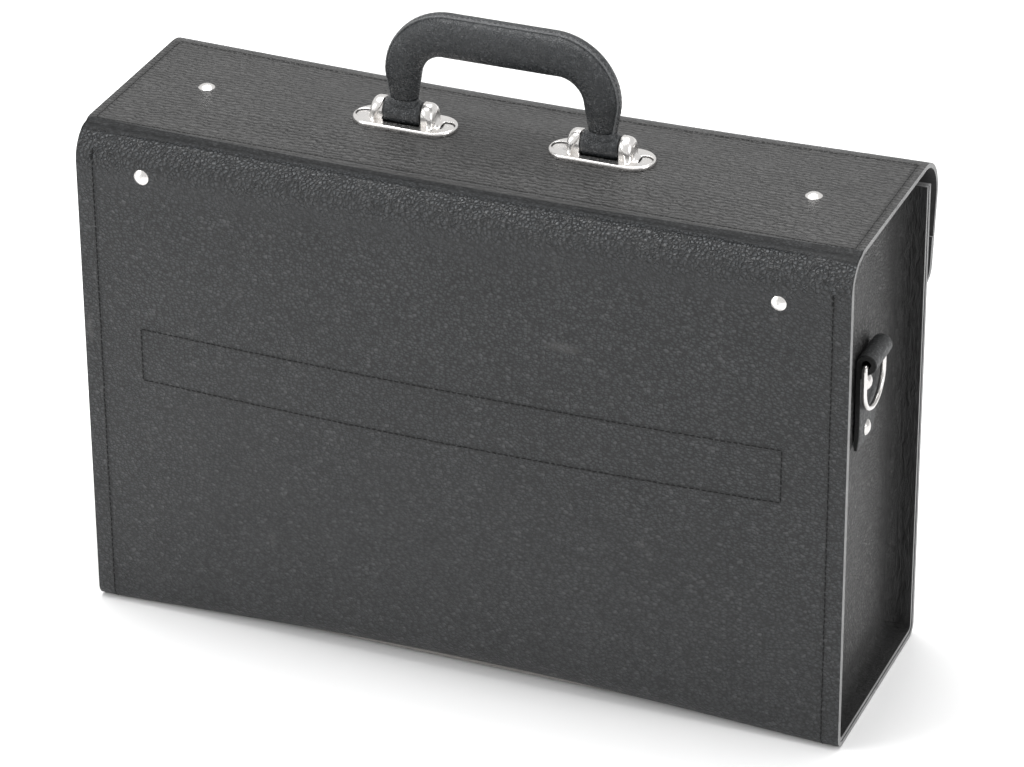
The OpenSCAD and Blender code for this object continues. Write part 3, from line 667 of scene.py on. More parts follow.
def build_sheet(name, profile, give, thickness, materials, widths=full_width, offset=0.0, band=None):
    """A sheet of even thickness along a profile: (object, outer points, distances along it).

    widths gives each row's share of the full width. The fourth material is for the outside in band."""
    xs = columns()
    samples = np.stack([profile(x) for x in xs], axis=1)
    y, z, ny, nz, along = (samples[..., k] for k in range(5))
    rows, wide = y.shape
    x = xs[None, :] * widths(along[:, 0], along[-1, 0])[:, None]
    push = give(x, y, z, ny) - offset
    outer = np.stack([x, y + ny * push, z + nz * push], axis=-1)
    inner = outer - np.stack([np.zeros_like(ny), ny, nz], axis=-1) * thickness
    middle = (outer + inner) / 2
    verts = list(outer.reshape(-1, 3)) + list(inner.reshape(-1, 3))
    uv = list(zip(x.ravel(), along.ravel())) * 2
    under = rows * wide
    faces = grid_faces(rows, wide)
    in_band = [bool(band) and band[0] < (low + high) / 2 < band[1]
               for low, high in zip(along[:-1, 0], along[1:, 0])]
    kinds = [3 * in_band[k // (wide - 1)] for k in range(len(faces))]
    faces += grid_faces(rows, wide, under, flip=True)
    kinds += [1] * len(kinds)

    rim = {}
    loop = border(rows, wide)
    for i, j in loop:
        out = np.array([(j == wide - 1) * 1.0 - (j == 0), 0.0, 0.0])
        if i in (0, rows - 1):
            step = outer[i, j] - outer[1 if i == 0 else rows - 2, j]
            out += step / max(1e-9, np.linalg.norm(step))
        crown = out / max(1e-9, np.linalg.norm(out)) * thickness * EDGE_CROWN
        rim[(i, j)] = len(verts)
        verts.append(middle[i, j] + crown)
        uv.append((x[i, j], along[i, j]))
    for here, there in zip(loop, loop[1:] + loop[:1]):
        a, b = here[0] * wide + here[1], there[0] * wide + there[1]
        faces.append((a, b, rim[there], rim[here]))
        faces.append((rim[here], rim[there], under + b, under + a))
        kinds += [2, 2]
    made = new_object(name, verts, faces, materials, kinds)
    set_flat(made, uv)
    mark_sharp_rim(made)
    return made, outer, along


def mark_sharp_rim(obj):
    """Keeps the cut edge crisp against the faces of the sheet."""
    mesh = obj.data
    kind = {}
    for polygon in mesh.polygons:
        for key in polygon.edge_keys:
            kind.setdefault(key, set()).add(polygon.material_index)
    sharp = np.array([len(kind.get(edge.key, ())) > 1 and 3 not in kind[edge.key] for edge in mesh.edges])
    layer = mesh.attributes.get("sharp_edge") or mesh.attributes.new("sharp_edge", "BOOLEAN", "EDGE")
    layer.data.foreach_set("value", sharp)


def paint_sheet(obj, flexed, on_lid):
    """Vertex layers for the sheet's material, worked out from each vertex's place."""
    co = np.zeros(len(obj.data.vertices) * 3)
    obj.data.vertices.foreach_get("co", co)
    co = co.reshape(-1, 3)
    set_layer(obj, "flexed", flexed(co))
    set_layer(obj, "on_lid", on_lid(co))


def hinge_flex(co):
    """1 where the sheet bends below the lid's rear seam."""
    up = smoothstep((co[:, 2] - HINGE_Z + 16 * MM) / (18 * MM))
    return up * smoothstep((co[:, 1] - LID_LINE_BACK - 4 * MM) / (5 * MM))


def front_flex(co):
    """How far the sheet is flexed at the bend between lid and flap."""
    forward = smoothstep((FLAP_Y - 2 * MM - co[:, 1]) / (8 * MM))
    return 0.6 * forward * smoothstep((co[:, 2] - FLAP_Z + 22 * MM) / (20 * MM))


def lid_zone(co):
    """1 inside the lid's stitched outline."""
    high = smoothstep((co[:, 2] - TOP + 9 * MM) / (3 * MM))
    return high * smoothstep((LID_LINE_BACK + 0.5 * MM - co[:, 1]) / (1 * MM))


def nowhere(co):
    return np.zeros(len(co))


BACK_S0 = HALF_D - BASE_R + math.pi / 2 * BASE_R - BASE_R
BACK_TOTAL = BACK_S0 + HINGE_Z + math.pi / 2 * HINGE_R + HINGE_Y - JOIN_Y
BACK_LINE = BACK_TOTAL - (HINGE_Y - JOIN_Y) - HINGE_R * math.asin((LID_LINE_BACK - HINGE_Y) / HINGE_R)
FLAP_LINE = JOIN_Y - LID_LINE_FRONT
SEAM_TOP = {-1: BACK_S0 + HINGE_Z, 1: BACK_S0 + HINGE_Z + 9 * MM}
FAR = 1.0
# Width of the dull, smooth band beside the lid's rear seam, which is darkened with painted shade
BAND_W = 10.5 * MM


def back_s(z):
    """Distance along the back sheet at height z, at the case's ends."""
    return BACK_S0 + z


BACK_LEATHER = sheet_leather(
    "back_leather",
    [("side", SEAM_X, -FAR, SEAM_TOP[-1]),
     ("sagged", back_s(strip_low.z), -FAR, STRIP_X), ("sagged", back_s(strip_high.z), -FAR, STRIP_X),
     ("side", STRIP_X, back_s(strip_low.z), back_s(strip_high.z)),
     ("along", BACK_LINE, -FAR, LID_LINE_SIDE), ("side", LID_LINE_SIDE, BACK_LINE, FAR)],
    # Painted shade: darkens the band below the lid's rear seam
    zones=[(BACK_LINE - BAND_W, BACK_LINE - 0.3 * MM, 0.7)],
    scuff=(-66 * MM, back_s(218 * MM)))
# Painted shade: the band's own material, darker still, with little gloss
SHADED_BAND_LEATHER = sheet_leather("shaded_band_leather", [("along", BACK_LINE, -FAR, LID_LINE_SIDE)],
                             zones=[(BACK_LINE - BAND_W, BACK_LINE - 0.3 * MM, 0.5)], shine=0.15)
FRONT_LEATHER = sheet_leather("front_leather", [("side", SEAM_X, -FAR, FAR)])
FLAP_LEATHER = sheet_leather(
    "flap_leather",
    [("along", FLAP_LINE, -FAR, LID_LINE_SIDE), ("side", LID_LINE_SIDE, -FAR, FLAP_LINE)],
    zones=[(FLAP_LINE + 0.5 * MM, FLAP_LINE + 16 * MM, 1.2)])

back, back_outer, back_along = build_sheet(
    "leather_back", back_profile, back_give, SHEET_T, [BACK_LEATHER, LINING, EDGE, SHADED_BAND_LEATHER],
    band=(BACK_LINE - BAND_W, BACK_LINE))
front, front_outer, front_along = build_sheet(
    "leather_front", front_profile, front_give, SHEET_T, [FRONT_LEATHER, LINING, EDGE])
flap, flap_outer, flap_along = build_sheet(
    "leather_flap", flap_profile, flap_give, SHEET_T, [FLAP_LEATHER, LINING, EDGE], flap_widths)
flap_strip = build_sheet(
    "flap_strip_leather", flap_strip_profile, flap_give, FLAP_LAYERS - SHEET_T, [LINING, STRIP, EDGE],
    flap_widths, offset=SHEET_T)[0]

paint_sheet(back, hinge_flex, lid_zone)
paint_sheet(front, nowhere, nowhere)
paint_sheet(flap, front_flex, lid_zone)


# ---- stitches ----

def sheet_point(outer, along, x, s):
    """Place and outward direction on a sheet at x and at distance s along it."""
    xs = outer[0, :, 0]
    column = int(np.argmin(np.abs(xs - x)))
    distances = along[:, column]
    spot = int(np.clip(np.searchsorted(distances, s), 1, len(distances) - 1))
    low, high = distances[spot - 1], distances[spot]
    t = (s - low) / (high - low)
    beside = min(column + 1, len(xs) - 1) if xs[column] <= x else max(column - 1, 0)
    span = xs[beside] - xs[column]
    u = 0.0 if abs(span) < 1e-9 else (x - xs[column]) / span

    def place(c):
        return outer[spot - 1, c] * (1 - t) + outer[spot, c] * t

    point = place(column) * (1 - u) + place(beside) * u
    point[0] = x
    along_s = outer[spot, column] - outer[spot - 1, column]
    along_x = outer[spot, min(column + 1, len(xs) - 1)] - outer[spot, max(column - 1, 0)]
    out = np.cross(along_x, along_s)
    return point, out / np.linalg.norm(out)


def stitch_shape(verts, faces, start, end, out, width):
    """One stitch: a low rounded bar between two needle holes."""
    rings, sides = 5, 6
    first = len(verts)
    across = np.cross(end - start, out)
    across = across / np.linalg.norm(across)
    for r in range(rings):
        t = r / (rings - 1)
        arch = math.sin(math.pi * t)
        middle = start + (end - start) * t + out * width * (0.3 * arch - 0.16)
        size = width * (0.55 + 0.45 * arch) / 2
        verts += [middle + across * c * size + out * s * size for c, s in circle(sides)]
    faces += grid_faces(rings, sides, first, closed=True)
    faces.append(tuple(first + k for k in range(sides))[::-1])
    faces.append(tuple(first + (rings - 1) * sides + k for k in range(sides)))


def run_stitches(path, pitch, verts, faces, rng, width):
    """Stitches along a path of (point, outward direction) samples."""
    filled, wander = 0.66, 0.18 * MM
    points = np.array([p for p, _ in path])
    outs = np.array([o for _, o in path])
    steps = np.linalg.norm(np.diff(points, axis=0), axis=1)
    at = np.concatenate([[0], np.cumsum(steps)])
    count = max(1, int(round(at[-1] / pitch)))
    pitch = at[-1] / count

    def sample(values, d):
        return np.array([np.interp(d, at, values[:, k]) for k in range(3)])

    for i in range(count):
        begin = i * pitch + pitch * (1 - filled) / 2
        start, end = sample(points, begin), sample(points, begin + pitch * filled)
        out = sample(outs, (i + 0.5) * pitch)
        out = out / np.linalg.norm(out)
        side = np.cross(end - start, out)
        side = side / np.linalg.norm(side)
        start = start + side * rng.uniform(-wander, wander)
        end = end + side * rng.uniform(-wander, wander)
        stitch_shape(verts, faces, start, end, out, width)


def stitches(name, paths, seed, pitch, width, material):
    rng = random.Random(seed)
    verts, faces = [], []
    for path in paths:
        run_stitches(path, pitch, verts, faces, rng, width)
    made = new_object(name, verts, faces, [material])
    return made


def bow(x):
    """How much of the strip's sag there is at x: 1 in the middle and 0 at its ends."""
    return 1 - (x / STRIP_X) ** 2


def sheet_path(sheet, start, end, count=60, sag=0.0):
    """Samples on a sheet between two (x, distance along it) ends, bowed down by sag in the middle."""
    made = []
    for t in np.linspace(0, 1, count):
        x, s = (a + (b - a) * t for a, b in zip(start, end))
        made.append(sheet_point(*sheet, x, s - sag * bow(x)))
    return made


back_map, front_map, flap_map = (back_outer, back_along), (front_outer, front_along), (flap_outer, flap_along)
strip_s = (back_s(strip_low.z), back_s(strip_high.z))
case_lines = []
for side in (-1, 1):
    x, tack = side * SEAM_X, SEAM_TOP[side]
    case_lines.append(sheet_path(back_map, (x, 1 * MM), (x, tack), 140))
    case_lines.append(sheet_path(back_map, (x + 0.7 * MM, tack - 7 * MM), (x + 0.3 * MM, tack + 1 * MM), 6))
    case_lines.append(sheet_path(front_map, (x, 2 * MM), (x, front_along[-1, 0] - 1 * MM), 120))
    case_lines.append(sheet_path(back_map, *((side * STRIP_X, s) for s in strip_s), 20))
for s in strip_s:
    case_lines.append(sheet_path(back_map, (-STRIP_X, s), (STRIP_X, s), 90, STRIP_SAG))
case_stitches = stitches("stitches_case", case_lines, 3, STITCH_PITCH, 0.9 * MM, THREAD)

rear_lines = [sheet_path(back_map, (-LID_LINE_SIDE, BACK_LINE), (LID_LINE_SIDE, BACK_LINE), 80)]
fore_lines = [sheet_path(flap_map, (-LID_LINE_SIDE, FLAP_LINE), (LID_LINE_SIDE, FLAP_LINE), 80)]
for x in (-LID_LINE_SIDE, LID_LINE_SIDE):
    rear_lines.append(sheet_path(back_map, (x, BACK_LINE), (x, BACK_TOTAL)))
    fore_lines.append(sheet_path(flap_map, (x, 0.0), (x, FLAP_LINE)))
rear_stitches = stitches("stitches_lid_rear", rear_lines, 4, LID_PITCH, 0.55 * MM, THREAD)
fore_stitches = stitches("stitches_lid_front", fore_lines, 5, LID_PITCH, 0.55 * MM, THREAD)


# ---- gussets ----

def build_gusset(name, side):
    """A side panel with soft folds and three flanges, turned outward and sewn to the sheet."""
    fold_r, gap, edge_in = 7 * MM, 0.15 * MM, 0.4 * MM
    flange_rows, fold_rows, panel_rows, corner = 5, 9, 14, 14
    pleat_h, pleat_turns = 1.8 * MM, 18
    dish_depth, spine_low = 1.2 * MM, 46 * MM
    path = joined(
        line_samples((-HALF_D, MOUTH), (-HALF_D, BASE_R), 60),
        arc_samples((-HALF_D + BASE_R, BASE_R), BASE_R, 180, 270, corner),
        line_samples((-HALF_D + BASE_R, 0), (HALF_D - BASE_R, 0), 26),
        arc_samples((HALF_D - BASE_R, BASE_R), BASE_R, 270, 360, corner),
        line_samples((HALF_D, BASE_R), (HALF_D, MOUTH), 60),
    )
    y, z, ny, nz = path.T[:4]
    wide = len(path)
    in_corner = np.abs(ny * nz)
    pleats = pleat_h * in_corner * np.sin(np.arctan2(nz, ny) * pleat_turns)
    # Less painted shade on the folds and flanges near the top at the back
    near_top = smoothstep((z - HINGE_Z + 14 * MM) / (30 * MM)) * (y > 0)

    flange_x = GUSSET_X + fold_r
    base = SHEET_T + gap
    outer_rows, inner_rows, flexed = [], [], []
    for x in np.linspace(HALF_W - edge_in, flange_x, flange_rows):
        outer_rows.append((x, base + GUSSET_T))
        inner_rows.append((x, base))
    for angle in np.radians(np.linspace(0, 90, fold_rows)[1:]):
        s, c = math.sin(angle), 1 - math.cos(angle)
        outer_rows.append((flange_x - fold_r * s, base + GUSSET_T + fold_r * c))
        inner_rows.append((flange_x - (fold_r + GUSSET_T) * s, base + (fold_r + GUSSET_T) * c))
    verts, inner_verts = [], []
    for index, ((ox, od), (ix, depth)) in enumerate(zip(outer_rows, inner_rows)):
        share = smoothstep(index / (len(outer_rows) - 1) * 2) * (index < len(outer_rows) - 1)
        for k in range(wide):
            lift = pleats[k] * share
            for rows, x, d in ((verts, ox, od + lift), (inner_verts, ix, depth)):
                rows.append((side * x, y[k] - ny[k] * d, z[k] - nz[k] * d))
            # The flexed layer sets the wrinkles and the painted shade of the folds and flanges, fading across
            # the fold
            fade = min(1.0, 0.55 + 0.45 * (len(outer_rows) - 1 - index) / fold_rows)
            flexed.append(fade * (1 - 0.75 * near_top[k]))
    last_outer = verts[-wide:]
    for t in np.linspace(0, 1, panel_rows + 1)[1:] ** 1.4:
        dish = dish_depth * math.sin(math.pi / 2 * t)
        for k, (_, oy, oz) in enumerate(last_outer):
            py, pz = oy * (1 - t), oz * (1 - t) + max(oz, spine_low) * t
            verts.append((side * (GUSSET_X - dish), py, pz))
            inner_verts.append((side * (GUSSET_X - dish - GUSSET_T), py, pz))
            # The panel next to the fold takes some of the painted shade, fading out towards its middle
            flexed.append(0.55 * (1 - 0.75 * near_top[k]) * (1 - smoothstep(t / 0.55)))
    rows = len(outer_rows) + panel_rows
    count = len(verts)
    faces = grid_faces(rows, wide, flip=side < 0)
    kinds = [0] * len(faces)
    faces += grid_faces(rows, wide, count, flip=side > 0)
    kinds += [1] * len(kinds)
    loop = [i * wide + j for i, j in border(rows, wide)]
    for a, b in zip(loop, loop[1:] + loop[:1]):
        quad = (a, b, count + b, count + a)
        faces.append(quad[::-1] if side > 0 else quad)
        kinds.append(2)
    made = new_object(name, verts + inner_verts, faces, [GUSSET, LINING, EDGE], kinds)
    set_layer(made, "flexed", flexed + flexed)
    mark_sharp_rim(made)
    return made


gusset_right = build_gusset("gusset_leather_right", 1)
gusset_left = build_gusset("gusset_leather_left", -1)


# ---- handle ----

loops_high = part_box("handle_loops")[1]
LEG_X = 58 * MM
PIVOT_H = 7.5 * MM
PIVOT_Z = TOP + PIVOT_H
GRIP_Z = PIVOT_Z + 49.5 * MM
GRIP_BEND_R = 26 * MM
GRIP_H, GRIP_T = 24.8 * MM, 18 * MM
LEG_W, LEG_T = 15.4 * MM, 11 * MM
LEG_FOOT = loops_high.z
WELT_HALF = 3.1 * MM
WELT_RISE = 0.75 * MM
# Power of the rounded outline of the grip's section
ROUND = 2.3


def grip_rings():
    """Rings of the sweep: middle x and z, turn of the outer side, half height, half thickness."""
    bend_z = GRIP_Z - GRIP_BEND_R
    half = []
    for u in np.linspace(0, 1, 12)[:-1]:
        half.append((LEG_X, LEG_FOOT + (bend_z - LEG_FOOT) * u, 0,
                     (LEG_W + (GRIP_H - LEG_W) * 0.5 * u) / 2, (LEG_T + (GRIP_T - LEG_T) * 0.6 * u) / 2))
    for u in np.linspace(0, 1, 22):
        c, s = direction(90 * u)
        half.append((LEG_X - GRIP_BEND_R + GRIP_BEND_R * c, bend_z + GRIP_BEND_R * s, 90 * u,
                     (LEG_W + (GRIP_H - LEG_W) * (0.5 + 0.5 * u)) / 2,
                     (LEG_T + (GRIP_T - LEG_T) * (0.6 + 0.4 * u)) / 2))
    end = LEG_X - GRIP_BEND_R
    top = [(x, GRIP_Z, 90, GRIP_H / 2, GRIP_T / 2) for x in np.linspace(end, -end, 26)[1:-1]]
    return half + top + [(-x, z, 180 - turn, h, t) for x, z, turn, h, t in half[::-1]]


def grip_surface(across, height, thick):
    """How far the cover stands out from the middle line at a distance across the grip."""
    return height * max(0.0, 1 - min(1.0, abs(across) / thick) ** ROUND) ** (1 / ROUND)


def ring_place(ring, out, across):
    x, z, turn = ring[:3]
    c, s = direction(turn)
    return (x + out * c, CARRY_Y + across, z + out * s)


def build_grip(rings):
    sides = 48
    verts = []
    for ring in rings:
        height, thick = ring[3:]
        for c, s in circle(sides):
            out, across = squared(c, 2 / ROUND) * height, squared(s, 2 / ROUND) * thick
            off_welt = abs(abs(across) - WELT_HALF - 0.5 * MM) / (1.1 * MM)
            if out > 0 and off_welt < 1:
                out -= 0.5 * MM * (1 - off_welt)
            verts.append(ring_place(ring, out, across))
    faces = grid_faces(len(rings), sides, closed=True)
    faces.append(tuple(range(sides))[::-1])
    faces.append(tuple(len(verts) - sides + k for k in range(sides)))
    return new_object("handle_cover", verts, faces, [GRIP])


def welt_half(ring):
    """Half the welt's width, which is narrower where the grip is thin."""
    return min(WELT_HALF, ring[4] * 0.78)


def build_welt(rings):
    """The raised band where the cover's two edges are sewn together, round the grip's outer side."""
    section = [(-1.08, -1.2), (-1.06, 0.2), (-0.98, 0.72), (-0.84, 0.9), (-0.45, 0.98), (0.0, 1.0)]
    section += [(-across, out) for across, out in section[-2::-1]]
    verts = []
    for ring in rings:
        half = welt_half(ring)
        for across, out in section:
            base = grip_surface(across * half * 0.96, *ring[3:])
            verts.append(ring_place(ring, base + out * WELT_RISE, across * half))
    n = len(section)
    faces = grid_faces(len(rings), n)
    # The welt's shoulders get the light welt material as a painted highlight
    kinds = [1 if k % (n - 1) in (1, 2, n - 4, n - 3) else 0 for k in range(len(faces))]
    return new_object("handle_welt", verts, faces, [GRIP, WELT_HIGHLIGHT], kinds)


def welt_path(rings, side):
    """Samples for the stitches along one side of the welt."""
    made = []
    for ring in rings:
        across = side * welt_half(ring) * 0.62
        out = grip_surface(across, *ring[3:]) + WELT_RISE * 0.75
        place = np.array(ring_place(ring, out, across))
        made.append((place, np.array(ring_place(ring, out + 1, across)) - place))
    return made


rings = grip_rings()
grip = build_grip(rings)
welt = build_welt(rings)
handle_stitches = stitches("stitches_handle", [welt_path(rings, side) for side in (-1, 1)], 7,
                           3.2 * MM, 0.5 * MM, GREY_THREAD)


def build_sleeve(name, x_mid):
    """Leather wrapped round a pivot bar, with the strap's neck going up into the grip."""
    half = 10.7 * MM
    outer_r = 6.9 * MM
    hole_r = 3.05 * MM
    sides = 48
    profile = [(-1.0, hole_r), (-1.0, outer_r - 0.8 * MM), (-0.965, outer_r - 0.15 * MM), (-0.85, outer_r),
               (-0.4, outer_r + 0.12 * MM), (0.4, outer_r + 0.12 * MM), (0.85, outer_r),
               (0.965, outer_r - 0.15 * MM), (1.0, outer_r - 0.8 * MM), (1.0, hole_r)]
    verts = []
    for f, r in profile:
        for k, (c, s) in enumerate(circle(sides)):
            lump = 0.18 * MM * math.sin(4 * math.pi * k / sides + 1.0) if r > hole_r else 0
            verts.append((x_mid + f * half, CARRY_Y + (r + lump) * s, PIVOT_Z + (r + lump) * c))
    faces = grid_faces(len(profile), sides, closed=True)
    last = (len(profile) - 1) * sides
    for k in range(sides):
        faces.append((last + k, last + (k + 1) % sides, (k + 1) % sides, k))
    base = len(verts)
    levels = [(PIVOT_Z + 2 * MM, 1.10), (PIVOT_Z + 6.4 * MM, 1.08), (PIVOT_Z + 7.4 * MM, 1.0),
              (LEG_FOOT - 0.6 * MM, 0.97), (LEG_FOOT, 0.93)]
    neck, neck_power = 28, 0.55
    for z, grow in levels:
        for c, s in circle(neck):
            x, y = squared(c, neck_power) * LEG_W / 2, squared(s, neck_power) * LEG_T / 2
            verts.append((x_mid + x * grow, CARRY_Y + y * grow, z))
    faces += grid_faces(len(levels), neck, base, closed=True)
    faces.append(tuple(len(verts) - neck + k for k in range(neck)))
    return new_object(name, verts, faces, [SLEEVE])


sleeve_left = build_sleeve("handle_sleeve_left", -LEG_X)
sleeve_right = build_sleeve("handle_sleeve_right", LEG_X)


# ---- handle brackets ----

bracket_low, bracket_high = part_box("handle_bracket_right")
PLATE_L = bracket_high.x - bracket_low.x
PLATE_W = bracket_high.y - bracket_low.y
PLATE_TOP = 2.7 * MM
RIVET_X = 24.5 * MM
DISH_R = 5.3 * MM
DISH_FLOOR = 1.55 * MM
HOOD_IN = 11.4 * MM
HOOD_OUT = 18.8 * MM
HOOD_R = 7.1 * MM
HOOD_WALL = 1.5 * MM
HOOD_SLANT = 4.2 * MM
BARREL_R = 5.9 * MM


def stadium(inset, z, sides=18):
    """Places round a stadium as large as the plate less inset."""
    r = PLATE_W / 2 - inset
    straight = (PLATE_L - PLATE_W) / 2
    made = []
    for end, start in ((1, -90), (-1, 90)):
        for a in np.radians(np.linspace(start, start + 180, sides)):
            made.append((end * straight + r * math.cos(a), r * math.sin(a), z))
    return made


def tessellated(outline, holes):
    """Triangles, as places in one run of the outline's and the holes' points."""
    loops = [outline] + holes
    return tessellate_polygon([[Vector((p[0], p[1], 0)) for p in loop] for loop in loops])


def bracket_plate():
    """Stamped plate with a rounded edge, two dished rivet holes and a window under the sleeve.

    Gives its vertices, its faces, and the places of the faces in the dishes' creases, which get a dark metal
    as painted shade."""
    rise = [(0.15, 0.0), (0.0, 0.25), (0.0, 1.75), (0.16, 2.25), (0.5, 2.58), (1.0, 2.7)]
    verts, faces = [], []
    for inset, z in rise:
        verts += stadium(inset * MM, z * MM)
    around = len(verts) // len(rise)
    faces += grid_faces(len(rise), around, closed=True)
    top = list(range(len(verts) - around, len(verts)))
    window_x, window_y = 10.9 * MM, 7.3 * MM
    window = [(window_x, -window_y), (window_x, window_y), (-window_x, window_y), (-window_x, -window_y)]
    rims, flat_rims = [], []
    for z in (PLATE_TOP, 0.2 * MM):
        rims.append(list(range(len(verts), len(verts) + 4)))
        verts += [(x, y, z) for x, y in window]
    faces += [(rims[0][k], rims[0][(k + 1) % 4], rims[1][(k + 1) % 4], rims[1][k]) for k in range(4)]
    flat_rims.append(rims[0])
    dish = [(DISH_R, PLATE_TOP), (DISH_R - 0.35 * MM, PLATE_TOP - 0.2 * MM),
            (DISH_R - 0.9 * MM, DISH_FLOOR), (3.4 * MM, DISH_FLOOR - 0.05 * MM)]
    sides = 28
    creases = []
    for end in (-1, 1):
        first = len(verts)
        creases += range(len(faces) + sides, len(faces) + 2 * sides)
        verts += [(end * RIVET_X + r * c, r * s, z) for r, z in dish for c, s in circle(sides)]
        faces += grid_faces(len(dish), sides, first, closed=True)
        flat_rims.append(list(range(first, first + sides)))
    run = top + [v for rim in flat_rims for v in rim]
    for triangle in tessellated([verts[v] for v in top], [[verts[v] for v in rim] for rim in flat_rims]):
        faces.append(tuple(run[i] for i in triangle))
    return verts, faces, creases


def hood_rows(end):
    """Arched rows of a hood, from its slanting open edge to the foot that runs out on the plate."""
    base = PLATE_TOP - 0.6 * MM
    shape = [(0.0, 0.88, 1.0), (0.0, 0.97, 1.0), (0.05, 1.0, 0.97), (0.3, 1.0, 0.7), (0.5, 0.995, 0.45),
             (0.66, 0.97, 0.25), (0.79, 0.92, 0.12), (0.89, 0.85, 0.05), (0.96, 0.75, 0.0),
             (1.0, 0.62, 0.0), (1.03, 0.48, 0.0), (1.08, 0.35, 0.0), (1.15, 0.24, 0.0),
             (1.26, 0.15, 0.0), (1.42, 0.07, 0.0)]
    length = HOOD_OUT - HOOD_IN
    flare_out, flare_h = 1.3 * MM, 3.0 * MM
    rows = []
    for place, size, slant in shape:
        half = HOOD_R * (0.35 + 0.65 * size)
        height = (PIVOT_H + HOOD_R - base) * size
        straight = max(0.0, height - half)
        row = []
        for t in np.linspace(0, 1, 5)[:-1]:
            row.append((-half, base + straight * t))
        for a in np.radians(np.linspace(180, 0, 21)):
            row.append((half * math.cos(a), base + straight + min(half, height) * math.sin(a)))
        for t in np.linspace(1, 0, 5)[1:]:
            row.append((half, base + straight * t))
        made = []
        for y, z in row:
            down = 1 - (z - base) / max(height, 1e-6)
            flare = flare_out * max(0.0, 1 - (z - base) / flare_h) ** 2
            x = HOOD_IN + place * length + slant * HOOD_SLANT * smoothstep(down * 1.15)
            made.append((end * x, y + math.copysign(flare, y), z))
        rows.append(made)
    return rows


def build_bracket(name, x_mid):
    """One-piece nickel bracket: plate, two slant-edged hoods, and the barrels in them."""
    verts, faces, creases = bracket_plate()
    sides = 32
    for end in (-1, 1):
        rows = hood_rows(end)
        shrink = 1 - HOOD_WALL / HOOD_R
        inner = [[(x + end * 0.2 * MM, y * shrink, PLATE_TOP + (z - PLATE_TOP) * shrink)
                  for x, y, z in rows[0]]]
        inner.append([(x + end * 3.2 * MM, y, z) for x, y, z in inner[0]])
        rows = inner[::-1] + rows
        first = len(verts)
        for row in rows:
            verts += row
        faces += grid_faces(len(rows), len(rows[0]), first, flip=end < 0)
        first = len(verts)
        for x, r in ((HOOD_IN - 0.25 * MM, 3.1 * MM), (HOOD_IN - 0.25 * MM, BARREL_R - 0.4 * MM),
                     (HOOD_IN + 0.15 * MM, BARREL_R), (HOOD_OUT - 1.6 * MM, BARREL_R)):
            for k, (c, s) in enumerate(circle(sides)):
                # Round above and nearly square below, so that it closes the hood down to the plate
                power = 1.0 if k < sides // 2 else 0.3
                verts.append((end * x, r * squared(c, power), PIVOT_H + r * squared(s, power)))
        faces += grid_faces(4, sides, first, closed=True, flip=end < 0)
    verts = [(x + x_mid, y + CARRY_Y, z + TOP) for x, y, z in verts]
    # The dishes' creases get the dark metal as painted shade
    kinds = np.zeros(len(faces), int)
    kinds[creases] = 1
    made = new_object(name, verts, faces, [NICKEL, DISH_SHADE], kinds, sharp=42)
    for polygon in made.data.polygons:
        polygon.use_smooth = abs(polygon.normal.z) < 0.999
    return made


bracket_right = build_bracket("bracket_stamped_right", LEG_X)
bracket_left = build_bracket("bracket_stamped_left", -LEG_X)


# ---- ring tabs ----

# How much the strap's skived end stops above the frame's
TAB_SHORT = 6 * MM


def build_tab(name, side):
    """A strap doubled over the ring's bar, lying flat on the gusset below it."""
    thick = 3 * MM
    loop_r = 5.8 * MM
    hole_r = 2.6 * MM
    inset = 0.5 * MM
    mid_x = GUSSET_X + loop_r
    mid_z = tab_high.z - loop_r
    straight, curved, hole_sides = 18, 25, 24
    end_z = tab_low.z + TAB_SHORT
    outline = [(GUSSET_X + 0.05 * MM, z) for z in np.linspace(end_z, mid_z, straight)]
    for a in np.radians(np.linspace(180, -62, curved + 1)[1:]):
        outline.append((mid_x + loop_r * math.cos(a), mid_z + loop_r * math.sin(a)))
    for z in np.linspace(mid_z - loop_r * 0.98 - 3.5 * MM, end_z, 16):
        outline.append((GUSSET_X + thick - 1 * MM * max(0.0, 1 - (z - end_z) / (9 * MM)), z))
    count = len(outline)
    half = (tab_high.y - tab_low.y) / 2
    verts, faces, kinds = [], [], []
    levels = [(-half, inset), (-half + inset, 0.0), (half - inset, 0.0), (half, inset)]
    for y, shrink in levels:
        for index, (x, z) in enumerate(outline):
            if straight <= index < straight + curved:
                x, z = (mid + (p - mid) * (1 - shrink / loop_r) for p, mid in ((x, mid_x), (z, mid_z)))
            else:
                x += math.copysign(shrink * 0.5, GUSSET_X + thick / 2 - x)
            verts.append((side * x, CARRY_Y + y, z))
    for level in range(len(levels) - 1):
        made = grid_faces(2, count, level * count, closed=True, flip=side < 0)
        faces += made
        kinds += [0 if level == 1 else 1] * len(made)
    hole_first = len(verts)
    verts += [(side * (mid_x + hole_r * c), CARRY_Y + y, mid_z + hole_r * s)
              for y in (-half, half) for c, s in circle(hole_sides)]
    faces += grid_faces(2, hole_sides, hole_first, closed=True, flip=side > 0)
    kinds += [1] * hole_sides
    for level, start in ((0, 0), (len(levels) - 1, hole_sides)):
        run = [level * count + k for k in range(count)] + [hole_first + start + k for k in range(hole_sides)]
        loops = [[(verts[v][0], verts[v][2]) for v in part] for part in (run[:count], run[count:])]
        for triangle in tessellated(loops[0], [loops[1]]):
            triangle = tuple(run[i] for i in triangle)
            faces.append(triangle if (level == 0) == (side > 0) else triangle[::-1])
            kinds.append(1)
    made = new_object(name, verts, faces, [TAB, DARK_EDGE], kinds, sharp=35)
    return made


tab_right = build_tab("tab_leather_right", 1)
tab_left = build_tab("tab_leather_left", -1)


# ---- instrument strip and loops, inside the back ----

LOOPS = range(1, 7)
STRIP_T = strip_high.y - strip_low.y
INWARD = np.array((0.0, -1.0, 0.0))


